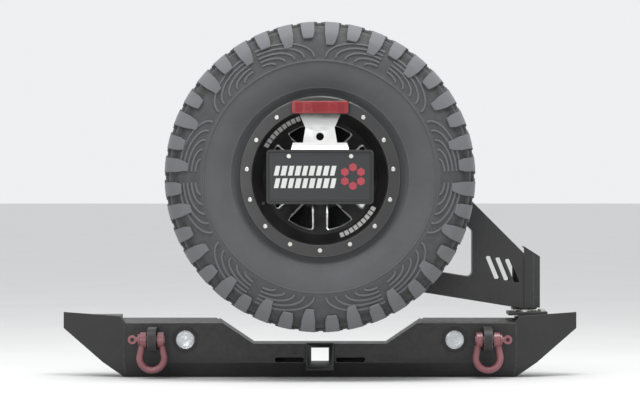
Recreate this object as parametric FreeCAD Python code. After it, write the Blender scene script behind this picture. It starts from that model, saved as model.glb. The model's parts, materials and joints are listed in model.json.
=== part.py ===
"""Bumper-mounted swing-away spare tyre carrier.

A folded steel bumper carries a hinge spindle on its right wing. A fabricated box-section arm turns on that
spindle on two roller bearings and holds, at its free end, a telescopic wheel mount with five wheel studs. The
spare wheel bolts to the mount, and a post through the wheel's centre bore carries the third brake light and
the licence plate. A tie link with two ball joints lets the arm follow the tailgate.

Frame, in millimetres: X to the right seen from behind the vehicle, Y forwards, Z up. The origin is the centre
of the bolt pattern on the vehicle's rear cross member, so the whole carrier lies at negative Y.
"""

import FreeCAD, Part

import math
import os

Vector = FreeCAD.Vector

# ---- driving dimensions -------------------------------------------------------------------------------------
# bumper
PLATE = 5.0                # steel plate of the bumper and the arm
FACE_Y = -240.0            # rear-most plane of the bumper's centre face
BACK_Y = -95.0             # rear surface of the bumper's back wall
FACE_TOP = 79.0            # top edge of the centre face
WING_TOP = 99.0            # top of the wings, on which the hinge stands
FOLD_Z = -36.0             # fold between the upright face and its tucked-under lower strip
FACE_BOTTOM = -77.0
LOWER_TUCK = 25.0          # how far the lower strip leans forwards
BOTTOM_FLANGE = 30.0
TOP_RISE = 9.0             # rise of the top plates from the face to the back wall
WING_X = 565.0             # fold between the centre and a wing
STEP_X = 559.0             # where the face's top edge starts its step up to the wing
WING_STEP_X = 577.0
TIP_X = 745.0
TIP_Y = -165.0
TIP_TOP = 108.0
TIP_BOTTOM = 62.0
POCKET_TOP_X = 280.0       # half width of the tyre pocket at the face's top edge
POCKET_FLOOR_X = 192.0
POCKET_FLOOR_Z = 20.0

# frame brackets
FLANGE = 8.0
BOLT_IN_X = 380.0
BOLT_OUT_X = 460.0
BOLT_Z = 40.0
FRAME_HOLE_R = 6.75
FLANGE_HALF_HEIGHT = 62.0

# receiver
RECEIVER_Z = -16.75
RECEIVER_OUT = 63.5
RECEIVER_IN = 51.0
RECEIVER_START = -252.0
RECEIVER_END = -12.0
HITCH_PIN_Y = -182.0
HITCH_PIN_R = 8.1

# reversing lights in the bumper
LAMP_X = 388.0
LAMP_Z = 31.0
LAMP_HOLE_R = 33.0
LENS_R = 27.0

# bow shackles
SHACKLE_X = 481.0
SHACKLE_Y = -300.0
SHACKLE_Z = 34.0
TAB = 25.0                 # thickness of the shackle tab
TAB_R = 34.0
PIN_R = 11.0
BAR_R = 9.5
EAR_X = 25.0               # centre of an ear from the shackle's middle
EAR_R = 21.0
BOW_R = 35.0
BOW_DROP = 52.0

# hinge
HINGE_X = 596.0
HINGE_Y = -129.0
BASE_TOP = 109.0
SPINDLE_R = 17.5
BARREL_R = 36.0
BARREL_BOTTOM = 115.0
SOCKET_TUBE_R = 30.0       # tube under the base that carries the spindle's lower end
BARREL_TOP = 252.0
SEAT_R = 32.0
BEARING_HEIGHT = 18.0
LOWER_BEARING_Z = 121.0
UPPER_BEARING_Z = 211.0
CONE_R = 21.0
CUP_R = 28.0
ROLLER_R = 3.4
ROLLER_PITCH_R = 24.5
ROLLERS = 18

# swing arm
ARM_REAR_FACE = -170.0     # the side towards the tyre
ARM_FRONT_FACE = -95.0     # the side towards the tailgate
ARM_END_X = 592.0
ARM_END_BOTTOM = 119.0
ARM_END_TOP = 277.0
ARM_LEFT_X = -150.0
ARM_TOP = 650.0
LINK_X = -92.0             # ball joint of the tailgate link on the arm
LINK_Y = -69.0
LINK_Z = 340.0
LINK_LENGTH = 180.0

# spare wheel
WHEEL_Z = 500.0
WHEEL_Y = -339.0           # centre plane of the wheel
TYRE_R = 440.0
STUD_CIRCLE_R = 63.5
STUD_R = 6.35
STUDS = 5
PAD_OFFSET = 12.7          # mounting pad from the centre plane, towards the vehicle
CENTRE_BORE_R = 41.5
RING_IN_R = 190.0
RING_OUT_R = 228.0
RING = 10.0
RING_BOLTS = 15
RING_BOLT_CIRCLE_R = 206.5
SPOKES = 8

# wheel mount
TUBE_HALF = 40.0
TUBE_WALL = 6.0
SOCKET_GAP = 0.5
SOCKET_WALL = 7.0
SOCKET_END = -230.0
TUBE_START = -140.0
HUB_PLATE = 10.0
HUB_PLATE_R = 92.0
POST_R = 28.0
POST_FLANGE_R = 40.0
POST_END = -500.0

# brake light and licence plate
SHEET = 3.0
PLATE_HALF_X = 150.0
PLATE_HALF_Z = 76.0
HOLDER_Y = -518.0
LIGHT_HALF_X = 81.0
LIGHT_BOTTOM = 676.0
LIGHT_TOP = 714.0
LIGHT_BACK = -490.0
LIGHT_FRONT = -514.0

RUNNING = 0.05             # radial clearance of a running fit
LEFT, RIGHT = -1, 1
SIDES = (("left", LEFT), ("right", RIGHT))
DIRECTION = {"X": Vector(1, 0, 0), "Y": Vector(0, 1, 0), "Z": Vector(0, 0, 1)}


# ---- making shapes ------------------------------------------------------------------------------------------
def point(axis, along, u, v):
    """A point from its place along an axis and its two other coordinates, in X, Y, Z order."""
    places = {"X": (along, u, v), "Y": (u, along, v), "Z": (u, v, along)}
    return Vector(*places[axis])


def cylinder(radius, axis, centre, start, end):
    low, high = sorted((start, end))
    return Part.makeCylinder(radius, high - low, point(axis, low, *centre), DIRECTION[axis])


def tube(outer, inner, axis, centre, start, end):
    return cylinder(outer, axis, centre, start, end).cut(cylinder(inner, axis, centre, start, end))


def block(x, y, z):
    """A box between the two X, the two Y and the two Z given."""
    (x0, x1), (y0, y1), (z0, z1) = sorted(x), sorted(y), sorted(z)
    return Part.makeBox(x1 - x0, y1 - y0, z1 - z0, Vector(x0, y0, z0))


def prism(points, axis, start, end, round_to=0.0):
    """A flat outline pushed along an axis, with its corners rounded if asked."""
    low, high = sorted((start, end))
    corners = [point(axis, low, u, v) for u, v in points]
    edges = []
    if round_to:
        count = len(corners)
        starts, ends, middles = [], [], []
        for i, corner in enumerate(corners):
            before = (corners[i - 1] - corner).normalize()
            after = (corners[(i + 1) % count] - corner).normalize()
            half = before.getAngle(after) / 2
            reach = round_to / math.tan(half)
            starts.append(corner + before * reach)
            ends.append(corner + after * reach)
            inwards = (before + after).normalize()
            middles.append(corner + inwards * (round_to / math.sin(half) - round_to))
        for i in range(count):
            edges.append(Part.Arc(starts[i], middles[i], ends[i]).toShape())
            edges.append(Part.LineSegment(ends[i], starts[(i + 1) % count]).toShape())
        wire = Part.Wire(edges)
    else:
        wire = Part.makePolygon(corners + corners[:1])
    return Part.Face(wire).extrude(DIRECTION[axis] * (high - low))


def turned(profile, axis, centre):
    """A closed outline of (radius, place along the axis) turned a full circle about the axis."""
    corners = [point(axis, along, centre[0] + radius, centre[1]) for radius, along in profile]
    face = Part.Face(Part.makePolygon(corners + corners[:1]))
    return face.revolve(point(axis, 0, *centre), DIRECTION[axis], 360)


def offset_path(path, distance):
    """A polyline moved sideways by a distance, to the left of its direction, with mitred corners."""
    normals = []
    for (u0, v0), (u1, v1) in zip(path, path[1:]):
        length = math.hypot(u1 - u0, v1 - v0)
        normals.append((-(v1 - v0) / length, (u1 - u0) / length))
    moved = []
    for i, (u, v) in enumerate(path):
        before = normals[max(i - 1, 0)]
        after = normals[min(i, len(normals) - 1)]
        spread = 1 + before[0] * after[0] + before[1] * after[1]
        moved.append((u + distance * (before[0] + after[0]) / spread,
                      v + distance * (before[1] + after[1]) / spread))
    return moved


def bent_sheet(path, thickness, axis, start, end):
    """Sheet metal bent along a path and pushed along an axis. The sheet lies to the left of the path."""
    return prism(path + offset_path(path, thickness)[::-1], axis, start, end)


def hexagon(across_flats, axis, centre, start, end):
    radius = across_flats / math.sqrt(3)
    angles = [math.radians(60 * i) for i in range(6)]
    return prism([(centre[0] + radius * math.cos(a), centre[1] + radius * math.sin(a)) for a in angles],
                 axis, start, end)


def bolt(radius, axis, centre, head_start, tip, across_flats, head):
    """A hexagon bolt. Its head grows from head_start away from the tip."""
    way = 1 if tip > head_start else -1
    return hexagon(across_flats, axis, centre, head_start - way * head, head_start).fuse(
        cylinder(radius, axis, centre, head_start, tip))


def nut(radius, axis, centre, start, end, across_flats):
    return hexagon(across_flats, axis, centre, start, end).cut(
        cylinder(radius, axis, centre, start, end))


def mirrored(shape):
    """The same piece on the other side of the vehicle's centre plane."""
    return shape.mirror(Vector(0, 0, 0), Vector(1, 0, 0))


def on_circle(radius, count, first, centre):
    """Points evenly spaced on a circle, from the first angle in degrees."""
    turns = [math.radians(first + 360 * i / count) for i in range(count)]
    return [(centre[0] + radius * math.cos(t), centre[1] + radius * math.sin(t)) for t in turns]


def joined(shapes):
    first, *others = shapes
    return first.fuse(others).removeSplitter()


# ---- bumper -------------------------------------------------------------------------------------------------
WING_ANGLE = math.degrees(math.atan2(TIP_Y - FACE_Y, TIP_X - WING_X))
WING_LENGTH = math.hypot(TIP_X - WING_X, TIP_Y - FACE_Y)
POCKET = [(-POCKET_TOP_X, FACE_TOP), (-POCKET_FLOOR_X, POCKET_FLOOR_Z),
          (POCKET_FLOOR_X, POCKET_FLOOR_Z), (POCKET_TOP_X, FACE_TOP)]
POCKET_SLOPE = (POCKET_TOP_X - POCKET_FLOOR_X) / (FACE_TOP - POCKET_FLOOR_Z)


def pocket_path():
    """The floor and sides of the tyre pocket in XZ, its sides carried up to the top plates' highest edge."""
    top = FACE_TOP + TOP_RISE
    edge = POCKET_TOP_X + TOP_RISE * POCKET_SLOPE
    return [(-edge, top), *POCKET[1:3], (edge, top)]


def pocket_cutter():
    """The space over the pocket plate's underside, which the top plates and the back wall leave free."""
    under = offset_path(pocket_path(), -PLATE)
    lift = 60.0
    outer = under[-1][0] + lift * POCKET_SLOPE
    outline = [(-outer, under[0][1] + lift), *under[1:3], (outer, under[-1][1] + lift)]
    return prism(outline, "Y", FACE_Y - 20, 20)


def mitre_block():
    """Everything outside the plane that halves the fold between the centre face and the right wing."""
    beyond = Part.makeBox(400, 600, 600, Vector(0, -300, -300))
    beyond.rotate(Vector(0, 0, 0), Vector(0, 0, 1), WING_ANGLE / 2)
    beyond.translate(Vector(WING_X, FACE_Y, 0))
    return beyond


def folded_strip(start, end, top):
    """The face's lower part: upright, then tucked under, then a bottom flange. It's placed at Y = 0."""
    path = [(BOTTOM_FLANGE + LOWER_TUCK, FACE_BOTTOM), (LOWER_TUCK, FACE_BOTTOM), (0, FOLD_Z), (0, top)]
    return prism(path + offset_path(path, -PLATE)[::-1], "X", start, end)


def centre_face(cut_by):
    reach = WING_X + 10
    slope = (WING_TOP - FACE_TOP) / (WING_STEP_X - STEP_X)
    edge = FACE_TOP + (reach - STEP_X) * slope
    upper = prism([(POCKET_FLOOR_X, POCKET_FLOOR_Z), (POCKET_TOP_X, FACE_TOP), (STEP_X, FACE_TOP),
                   (reach, edge), (reach, POCKET_FLOOR_Z)], "Y", FACE_Y, FACE_Y + PLATE)
    lower = folded_strip(-reach, reach, POCKET_FLOOR_Z)
    lower.translate(Vector(0, FACE_Y, 0))
    face = joined([lower, upper, mirrored(upper)])
    for mitre in (mitre_block(), mirrored(mitre_block())):
        face = face.cut(mitre)
    slots = [prism([(x - 42, -34), (x + 42, -34), (x + 42, -20), (x - 42, -20)], "Y",
                   FACE_Y - 5, FACE_Y + 10, round_to=6) for x in (-88, 88)]
    lamps = [cylinder(LAMP_HOLE_R, "Y", (side * LAMP_X, LAMP_Z), FACE_Y - 5, FACE_Y + 10)
             for _, side in SIDES]
    for tool in slots + lamps + cut_by:
        face = face.cut(tool)
    return face


def right_wing():
    """The right wing's face plate, made flat beside the fold and turned forwards about it."""
    slope = (WING_TOP - FACE_TOP) / (WING_STEP_X - STEP_X)
    step = (WING_STEP_X - WING_X) / math.cos(math.radians(WING_ANGLE))
    upper = prism([(-10, 0), (-10, FACE_TOP + (WING_X - STEP_X) * slope - 10 * slope), (step, WING_TOP),
                   (WING_LENGTH, TIP_TOP), (WING_LENGTH, 0)], "Y", 0, PLATE)
    lower = folded_strip(-10, WING_LENGTH, 0)
    tyre_side = prism([(12, FACE_BOTTOM - 1), (WING_LENGTH + 1, TIP_BOTTOM), (WING_LENGTH + 1, -200),
                       (12, -200)], "Y", -50, 200)
    wing = joined([lower, upper]).cut(tyre_side)
    wing.rotate(Vector(0, 0, 0), Vector(0, 0, 1), WING_ANGLE)
    wing.translate(Vector(WING_X, FACE_Y, 0))
    return wing.common(mitre_block())


def wing_inner_y(x):
    """The wing plate's inner surface, at a distance from the centre plane."""
    tilt = math.radians(WING_ANGLE)
    return FACE_Y + (x - WING_X) * math.tan(tilt) + PLATE / math.cos(tilt)


def right_wing_top():
    """The wing's top plate with the riser down to the centre's top plate, and the hole for the spindle."""
    top = prism([(WING_STEP_X, wing_inner_y(WING_STEP_X)), (TIP_X, wing_inner_y(TIP_X)),
                 (TIP_X, BACK_Y + PLATE), (WING_STEP_X, BACK_Y + PLATE)], "Z", WING_TOP - PLATE, WING_TOP)
    riser = block((WING_STEP_X, WING_STEP_X + PLATE), (wing_inner_y(WING_STEP_X + PLATE), BACK_Y),
                  (FACE_TOP, WING_TOP - PLATE))
    return joined([top, riser])


def right_top_plate():
    """The centre's top plate beside the pocket. It rises a little towards the vehicle."""
    start, end = FACE_Y + PLATE, BACK_Y + PLATE
    rise = TOP_RISE * (end - start) / (BACK_Y - start)
    sheet = prism([(start, FACE_TOP - PLATE), (start, FACE_TOP), (end, FACE_TOP + rise),
                   (end, FACE_TOP + rise - PLATE)], "X", POCKET_FLOOR_X, WING_STEP_X)
    inside_wing = block((WING_STEP_X - 1, WING_STEP_X + 1), (start - 1, end + 1), (0, 200))
    return sheet.cut(pocket_cutter()).cut(inside_wing).cut(right_wing())


def pocket_plate():
    """The bent trough that the bottom of the tyre sits in."""
    path = pocket_path()
    sheet = bent_sheet(path[::-1], PLATE, "Y", FACE_Y + PLATE, BACK_Y + PLATE)
    start = FACE_Y + PLATE
    over = prism([(start - 1, FACE_TOP), (start - 1, FACE_TOP + 60), (20, FACE_TOP + 60),
                  (20, FACE_TOP + TOP_RISE * (20 - start) / (BACK_Y - start))], "X", -400, 400)
    return sheet.cut(over)


def back_wall(cut_by):
    outline = [(-TIP_X, TIP_BOTTOM), (-TIP_X, WING_TOP - PLATE), (-WING_STEP_X, WING_TOP - PLATE),
               (-WING_STEP_X, FACE_TOP + TOP_RISE - PLATE), (WING_STEP_X, FACE_TOP + TOP_RISE - PLATE),
               (WING_STEP_X, WING_TOP - PLATE), (TIP_X, WING_TOP - PLATE), (TIP_X, TIP_BOTTOM),
               (610, -50), (-610, -50)]
    wall = prism(outline, "Y", BACK_Y, BACK_Y + PLATE).cut(pocket_cutter())
    for tool in cut_by:
        wall = wall.cut(tool)
    return wall


def right_end_plate():
    return block((TIP_X - PLATE, TIP_X), (wing_inner_y(TIP_X), BACK_Y), (TIP_BOTTOM, WING_TOP - PLATE))


def inner_ribs():
    """Upright stiffeners between the face and the back wall, in pairs."""
    rib = [(FACE_Y + PLATE, FOLD_Z + 3), (FACE_Y + PLATE, FACE_TOP - PLATE),
           (BACK_Y, FACE_TOP + TOP_RISE - PLATE), (BACK_Y, FOLD_Z + 3)]
    ribs = []
    for x in (330.0, 535.0):
        one = prism(rib, "X", x, x + PLATE)
        ribs += [one, mirrored(one)]
    return ribs


def right_frame_bracket():
    """The bolt flange on the vehicle's frame and the two gussets that join it to the back wall."""
    height = (-FLANGE_HALF_HEIGHT, FLANGE_HALF_HEIGHT)
    flange = block((BOLT_IN_X - 18, BOLT_OUT_X + 18), (-FLANGE, 0), height)
    gussets = [block((x, x + 6), (BACK_Y + PLATE, -FLANGE), (-48, 48)) for x in (402, 432)]
    bracket = joined([flange] + gussets)
    for x in (BOLT_IN_X, BOLT_OUT_X):
        for z in (-BOLT_Z, BOLT_Z):
            bracket = bracket.cut(cylinder(FRAME_HOLE_R, "Y", (x, z), -FLANGE - 1, 1))
    return bracket


def receiver():
    """The square towing receiver: its tube with the pin hole, and the collar round its mouth."""
    def square(half, start, end):
        return block((-half, half), (start, end), (RECEIVER_Z - half, RECEIVER_Z + half))

    outer, inner = RECEIVER_OUT / 2, RECEIVER_IN / 2
    hole = square(inner, RECEIVER_START - 1, RECEIVER_END + 1)
    body = square(outer, RECEIVER_START, RECEIVER_END).cut(hole)
    body = body.cut(cylinder(HITCH_PIN_R, "X", (HITCH_PIN_Y, RECEIVER_Z), -60, 60))
    collar = square(outer + 8, RECEIVER_START, FACE_Y).cut(square(outer, RECEIVER_START - 1, FACE_Y + 1))
    return body, collar, square(outer, RECEIVER_START, RECEIVER_END)


def right_shackle_tab():
    eye = cylinder(TAB_R, "X", (SHACKLE_Y, SHACKLE_Z), SHACKLE_X - TAB / 2, SHACKLE_X + TAB / 2)
    shank = block((SHACKLE_X - TAB / 2, SHACKLE_X + TAB / 2), (SHACKLE_Y, BACK_Y),
                  (SHACKLE_Z - TAB_R, SHACKLE_Z + TAB_R))
    hole = cylinder(PIN_R + 1.5, "X", (SHACKLE_Y, SHACKLE_Z), SHACKLE_X - TAB, SHACKLE_X + TAB)
    return joined([eye, shank]).cut(hole)


def right_shackle_bow():
    """A bow shackle hanging from its pin: two ears and a round bar that widens into the bow."""
    middle = Vector(SHACKLE_X, SHACKLE_Y, SHACKLE_Z - BOW_DROP)
    away = math.hypot(EAR_X, BOW_DROP)
    tangent = math.atan2(BOW_DROP, EAR_X) - math.acos(BOW_R / away)

    def at(x, z):
        return middle + Vector(x, 0, z)

    touch = (BOW_R * math.cos(tangent), BOW_R * math.sin(tangent))
    left_leg = Part.LineSegment(at(-EAR_X, BOW_DROP), at(-touch[0], touch[1])).toShape()
    bow = Part.Arc(at(-touch[0], touch[1]), at(0, -BOW_R), at(*touch)).toShape()
    right_leg = Part.LineSegment(at(*touch), at(EAR_X, BOW_DROP)).toShape()
    path = Part.Wire([left_leg, bow, right_leg])
    section = Part.Wire(Part.makeCircle(BAR_R, at(-EAR_X, BOW_DROP),
                                        Vector(EAR_X - touch[0], 0, touch[1] - BOW_DROP)))
    bar = path.makePipeShell([section], True, True)
    half = 9.0
    ears = [cylinder(EAR_R, "X", (SHACKLE_Y, SHACKLE_Z), SHACKLE_X + x - half, SHACKLE_X + x + half)
            for x in (-EAR_X, EAR_X)]
    gap = block((SHACKLE_X - EAR_X + half, SHACKLE_X + EAR_X - half), (SHACKLE_Y - 40, SHACKLE_Y + 40),
                (SHACKLE_Z - 22, SHACKLE_Z + 30))
    hole = cylinder(PIN_R + RUNNING, "X", (SHACKLE_Y, SHACKLE_Z), SHACKLE_X - 60, SHACKLE_X + 60)
    bow = joined([bar] + ears).cut(gap).cut(hole)
    for way in (-1, 1):
        face_x = SHACKLE_X + way * (EAR_X + half)
        bow = bow.cut(cylinder(17, "X", (SHACKLE_Y, SHACKLE_Z), face_x, face_x + way * 20))
    return bow


def right_shackle_pin():
    """The screw pin, with its collar and the flat eye it's turned by on the outer side."""
    outer = SHACKLE_X + EAR_X + 9.3
    shaft = cylinder(PIN_R, "X", (SHACKLE_Y, SHACKLE_Z), SHACKLE_X - EAR_X - 12, outer)
    collar = cylinder(16, "X", (SHACKLE_Y, SHACKLE_Z), outer, outer + 6)
    neck = cylinder(8, "X", (SHACKLE_Y, SHACKLE_Z), outer + 6, outer + 12)
    eye = cylinder(13, "Y", (outer + 22, SHACKLE_Z), SHACKLE_Y - 5, SHACKLE_Y + 5)
    eye_hole = cylinder(5.5, "Y", (outer + 22, SHACKLE_Z), SHACKLE_Y - 6, SHACKLE_Y + 6)
    return joined([shaft, collar, neck, eye]).cut(eye_hole)


def right_reversing_light():
    """A round flush-mounted lamp: rubber grommet, housing with its cable gland, reflector and lens."""
    at = (LAMP_X, LAMP_Z)
    grommet = joined([tube(37, 30, "Y", at, FACE_Y - 3, FACE_Y), tube(LAMP_HOLE_R, 30, "Y", at, FACE_Y, FACE_Y + 9)])
    housing = joined([tube(30, LENS_R, "Y", at, FACE_Y - 2, FACE_Y + 26), cylinder(30, "Y", at, FACE_Y + 26, FACE_Y + 30),
                      cylinder(7, "Y", at, FACE_Y + 30, FACE_Y + 40)])
    reflector = cylinder(LENS_R, "Y", at, FACE_Y + 8, FACE_Y + 11)
    dome = turned([(0, FACE_Y - 5), (9, FACE_Y - 4.7), (18, FACE_Y - 3.6), (24, FACE_Y - 2), (LENS_R, FACE_Y),
                   (LENS_R, FACE_Y + 3), (0, FACE_Y + 3)], "Y", at)
    return {"grommet": grommet, "housing": housing, "reflector": reflector, "lens": dome}


# ---- hinge --------------------------------------------------------------------------------------------------
HINGE = (HINGE_X, HINGE_Y)


def hinge_base():
    """The plate under the hinge. The hold-open pin drops into its two holes, arm shut and arm open."""
    outline = [(546, -68), (660, -68), (660, -182), (628, -200), (546, -200)]
    base = prism(outline, "Z", WING_TOP, BASE_TOP).cut(cylinder(20, "Z", HINGE, 0, 200))
    for turn in (0, 105):
        angle = math.radians(PIN_ANGLE + turn)
        at = (HINGE_X + PIN_CIRCLE_R * math.cos(angle), HINGE_Y + PIN_CIRCLE_R * math.sin(angle))
        base = base.cut(cylinder(6.5, "Z", at, 0, 200))
    return base


def hinge_base_bolts():
    """Three bolts through the base and the wing's top plate, with their nuts underneath."""
    under = WING_TOP - PLATE
    places = ((645, -112), (645, -166), (593, -187))
    return [bolt(5, "Z", at, BASE_TOP, under - 12, 16, 6) for at in places] + [
        nut(5, "Z", at, under - 8, under, 16) for at in places]


def spindle():
    return turned([(0, -18), (20, -18), (20, BASE_TOP), (34, BASE_TOP), (34, 113), (SPINDLE_R, 113),
                   (SPINDLE_R, 228.5), (14, 228.5), (14, 249), (12, 251), (0, 251)], "Z", HINGE)


def spindle_socket():
    return tube(SOCKET_TUBE_R, 20, "Z", HINGE, -10, WING_TOP - PLATE)


def bearings():
    """Both roller bearings: inner rings on the spindle, outer rings in the barrel, rollers between."""
    inner, outer, rollers, cages = [], [], [], []
    for z in (LOWER_BEARING_Z, UPPER_BEARING_Z):
        inner.append(tube(CONE_R, SPINDLE_R, "Z", HINGE, z, z + BEARING_HEIGHT))
        outer.append(tube(SEAT_R, CUP_R, "Z", HINGE, z, z + BEARING_HEIGHT))
        rollers += [cylinder(ROLLER_R, "Z", at, z + 2, z + 16)
                    for at in on_circle(ROLLER_PITCH_R, ROLLERS, 0, HINGE)]
        cages += [tube(27, 22, "Z", HINGE, z + 0.8, z + 2), tube(27, 22, "Z", HINGE, z + 16, z + 17.2)]
    return inner, outer, rollers, cages


def hinge_barrel():
    return turned([(SEAT_R, BARREL_BOTTOM), (BARREL_R, BARREL_BOTTOM), (BARREL_R, BARREL_TOP),
                   (SEAT_R, BARREL_TOP), (SEAT_R, UPPER_BEARING_Z), (CUP_R, UPPER_BEARING_Z),
                   (CUP_R, LOWER_BEARING_Z + BEARING_HEIGHT), (SEAT_R, LOWER_BEARING_Z + BEARING_HEIGHT)],
                  "Z", HINGE)


def hinge_shroud():
    """The folded cover round the barrel's outer side, with the slanted lid on top."""
    front, back, side = ARM_REAR_FACE + 1, ARM_FRONT_FACE + 2, 640
    path = [(side, back), (side, front + 21), (side - 21, front), (ARM_END_X, front)]
    walls = bent_sheet(path, -4, "Z", 120, 330)
    plan = prism(path + [(ARM_END_X, back)], "Z", 120, 330)
    lid_top = [(ARM_END_X, 299), (side, 269)]
    lid = prism(lid_top + offset_path(lid_top, -4)[::-1], "Y", front, back).common(plan)
    over = prism(lid_top + [(side + 20, 400), (ARM_END_X - 20, 400)], "Y", front - 5, back + 5)
    return joined([walls.cut(over), lid])


PIN_CIRCLE_R = 57.0
PIN_ANGLE = 123.0


def hold_open_pin():
    """A spring plunger behind the hinge: its block on the arm, and the pin with its pull knob."""
    angle = math.radians(PIN_ANGLE)
    at = (HINGE_X + PIN_CIRCLE_R * math.cos(angle), HINGE_Y + PIN_CIRCLE_R * math.sin(angle))
    body = block((at[0] - 11, at[0] + 11), (ARM_FRONT_FACE, at[1] + 11), (125, 165))
    body = body.cut(cylinder(9, "Z", at, 131, 161)).cut(cylinder(6 + RUNNING, "Z", at, 100, 200))
    pin = joined([cylinder(6, "Z", at, 112, 193), cylinder(8.8, "Z", at, 143, 146)])
    knob = turned([(6, 179), (9, 179), (12, 185), (12, 195), (9, 199), (0, 199), (0, 193), (6, 193)], "Z", at)
    turns, wire, coil_r = 4, 0.8, 7.6
    helix = Part.makeHelix(13.6 / turns, 13.6, coil_r)
    ring = Part.Wire(Part.makeCircle(wire, Vector(coil_r, 0, 0), Vector(0, 1, 0)))
    spring = Part.Wire(helix).makePipeShell([ring], True, True)
    spring.translate(Vector(at[0], at[1], 146.8))
    return body, pin, knob, spring


# ---- swing arm ----------------------------------------------------------------------------------------------
SOCKET_IN = TUBE_HALF + SOCKET_GAP
SOCKET_OUT = SOCKET_IN + SOCKET_WALL
LOWER_EDGE_SLOPE = 0.16
BEAM_HEIGHT = 66.0
ARM_OUTLINE = [(ARM_END_X, ARM_END_BOTTOM), (ARM_END_X, ARM_END_TOP), (330, 540), (150, ARM_TOP),
               (ARM_LEFT_X, ARM_TOP), (ARM_LEFT_X, 330), (-60, 224)]


def beam_top(x):
    """Height of the lower beam's upper edge."""
    return ARM_END_BOTTOM + (ARM_END_X - x) * LOWER_EDGE_SLOPE + BEAM_HEIGHT


ARM_WINDOW = [(442, beam_top(442)), (442, 344), (310, 474), (100, 430), (100, beam_top(100))]
WINDOW_CORNER_R = 14.0


def square_hole(half, start, end):
    return block((-half, half), (start, end), (WHEEL_Z - half, WHEEL_Z + half))


def vent_slots():
    """Three slanted slots near the hinge, through both side plates."""
    slots = []
    for shift in (-28, 0, 28):
        x, z = 530 + shift, 232 - shift * 0.15
        outline = [(x - 22, z + 34), (x - 6, z + 34), (x + 22, z - 34), (x + 6, z - 34)]
        slots.append(prism(outline, "Y", ARM_REAR_FACE - 1, ARM_FRONT_FACE + 1, round_to=4))
    return slots


def arm_side_plate(start):
    plate = prism(ARM_OUTLINE, "Y", start, start + PLATE)
    plate = plate.cut(prism(ARM_WINDOW, "Y", start - 1, start + PLATE + 1, round_to=WINDOW_CORNER_R))
    plate = plate.cut(square_hole(SOCKET_OUT, start - 1, start + PLATE + 1))
    plate = plate.cut(cylinder(BARREL_R, "Z", HINGE, 0, 400))
    for slot in vent_slots():
        plate = plate.cut(slot)
    return plate


def arm_edges():
    """The strips welded between the two side plates: along the top, the bottom, the left and the window."""
    inside = (ARM_REAR_FACE + PLATE, ARM_FRONT_FACE - PLATE)
    outline = prism(ARM_OUTLINE, "Y", *inside)
    barrel = cylinder(BARREL_R, "Z", HINGE, 0, 400)
    runs = {"top": ARM_OUTLINE[1:5], "bottom": [ARM_OUTLINE[6], ARM_OUTLINE[0]], "left": ARM_OUTLINE[4:7]}
    strips = {}
    for name, run in runs.items():
        strips[name] = bent_sheet(run, PLATE, "Y", *inside).common(outline).cut(barrel)
    strips["left"] = strips["left"].cut(strips["top"]).cut(strips["bottom"])
    hole = prism(ARM_WINDOW, "Y", *inside, round_to=WINDOW_CORNER_R)
    grown = offset_path(ARM_WINDOW + ARM_WINDOW[:2], -PLATE)
    border = prism([grown[-2]] + grown[1:5], "Y", *inside, round_to=WINDOW_CORNER_R + PLATE)
    return [*strips.values(), border.cut(hole)]


def mount_socket():
    """The square socket through the arm that the wheel mount slides in."""
    return square_hole(SOCKET_OUT, SOCKET_END, ARM_FRONT_FACE).cut(
        square_hole(SOCKET_IN, SOCKET_END - 1, ARM_FRONT_FACE + 1))


def socket_clamp_bolts():
    """Two clamp bolts in weld nuts on top of the socket. They press on the sliding tube."""
    top = WHEEL_Z + SOCKET_OUT
    bolts, nuts, holes = [], [], []
    for x in (-20, 20):
        at = (x, -205)
        bolts.append(bolt(6, "Z", at, top + 16, WHEEL_Z + TUBE_HALF + 0.1, 18, 8))
        nuts.append(nut(6, "Z", at, top, top + 11, 20))
        holes.append(cylinder(6, "Z", at, WHEEL_Z, top + 1))
    return bolts, nuts, holes


def bump_stops():
    """Rubber pads that the arm rests on against the tailgate, with the screws that hold them."""
    pads, screws = [], []
    for z in (275, 572):
        at = (20, z)
        pad = turned([(4, ARM_FRONT_FACE), (24, ARM_FRONT_FACE), (24, -80), (20, -68), (9, -68), (9, -80),
                      (4, -80)], "Y", at)
        pads.append(pad)
        screws.append(joined([cylinder(8, "Y", at, -80, -75), cylinder(4, "Y", at, ARM_FRONT_FACE, -80)]))
    return pads, screws


# ---- tailgate link ------------------------------------------------------------------------------------------
BALL_R = 13.0
BALL_HALF = 9.5
EYE_HALF = 7.0


def link_bracket():
    """The clevis on the arm: a base plate and two ears."""
    base = block((LINK_X - 18, LINK_X + 22), (ARM_FRONT_FACE, ARM_FRONT_FACE + 4), (LINK_Z - 26, LINK_Z + 26))
    ears = [block((LINK_X - 16, LINK_X + 18), (ARM_FRONT_FACE + 4, LINK_Y + 14), (z, z + 6))
            for z in (LINK_Z - BALL_HALF - 6, LINK_Z + BALL_HALF)]
    return joined([base] + ears).cut(cylinder(6, "Z", (LINK_X, LINK_Y), LINK_Z - 40, LINK_Z + 40))


def ball(x):
    sphere = Part.makeSphere(BALL_R, Vector(x, LINK_Y, LINK_Z))
    sphere = sphere.common(block((x - 20, x + 20), (LINK_Y - 20, LINK_Y + 20),
                                 (LINK_Z - BALL_HALF, LINK_Z + BALL_HALF)))
    return sphere.cut(cylinder(6.1, "Z", (x, LINK_Y), LINK_Z - 20, LINK_Z + 20))


def rod_end(x, way):
    """A rod end with its eye at x and its shank towards the turnbuckle."""
    eye = cylinder(19, "Z", (x, LINK_Y), LINK_Z - EYE_HALF, LINK_Z + EYE_HALF)
    shank = cylinder(7, "X", (LINK_Y, LINK_Z), x + way * 15, x + way * 52)
    socket = Part.makeSphere(BALL_R + RUNNING, Vector(x, LINK_Y, LINK_Z))
    return joined([eye, shank]).cut(socket)


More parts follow.
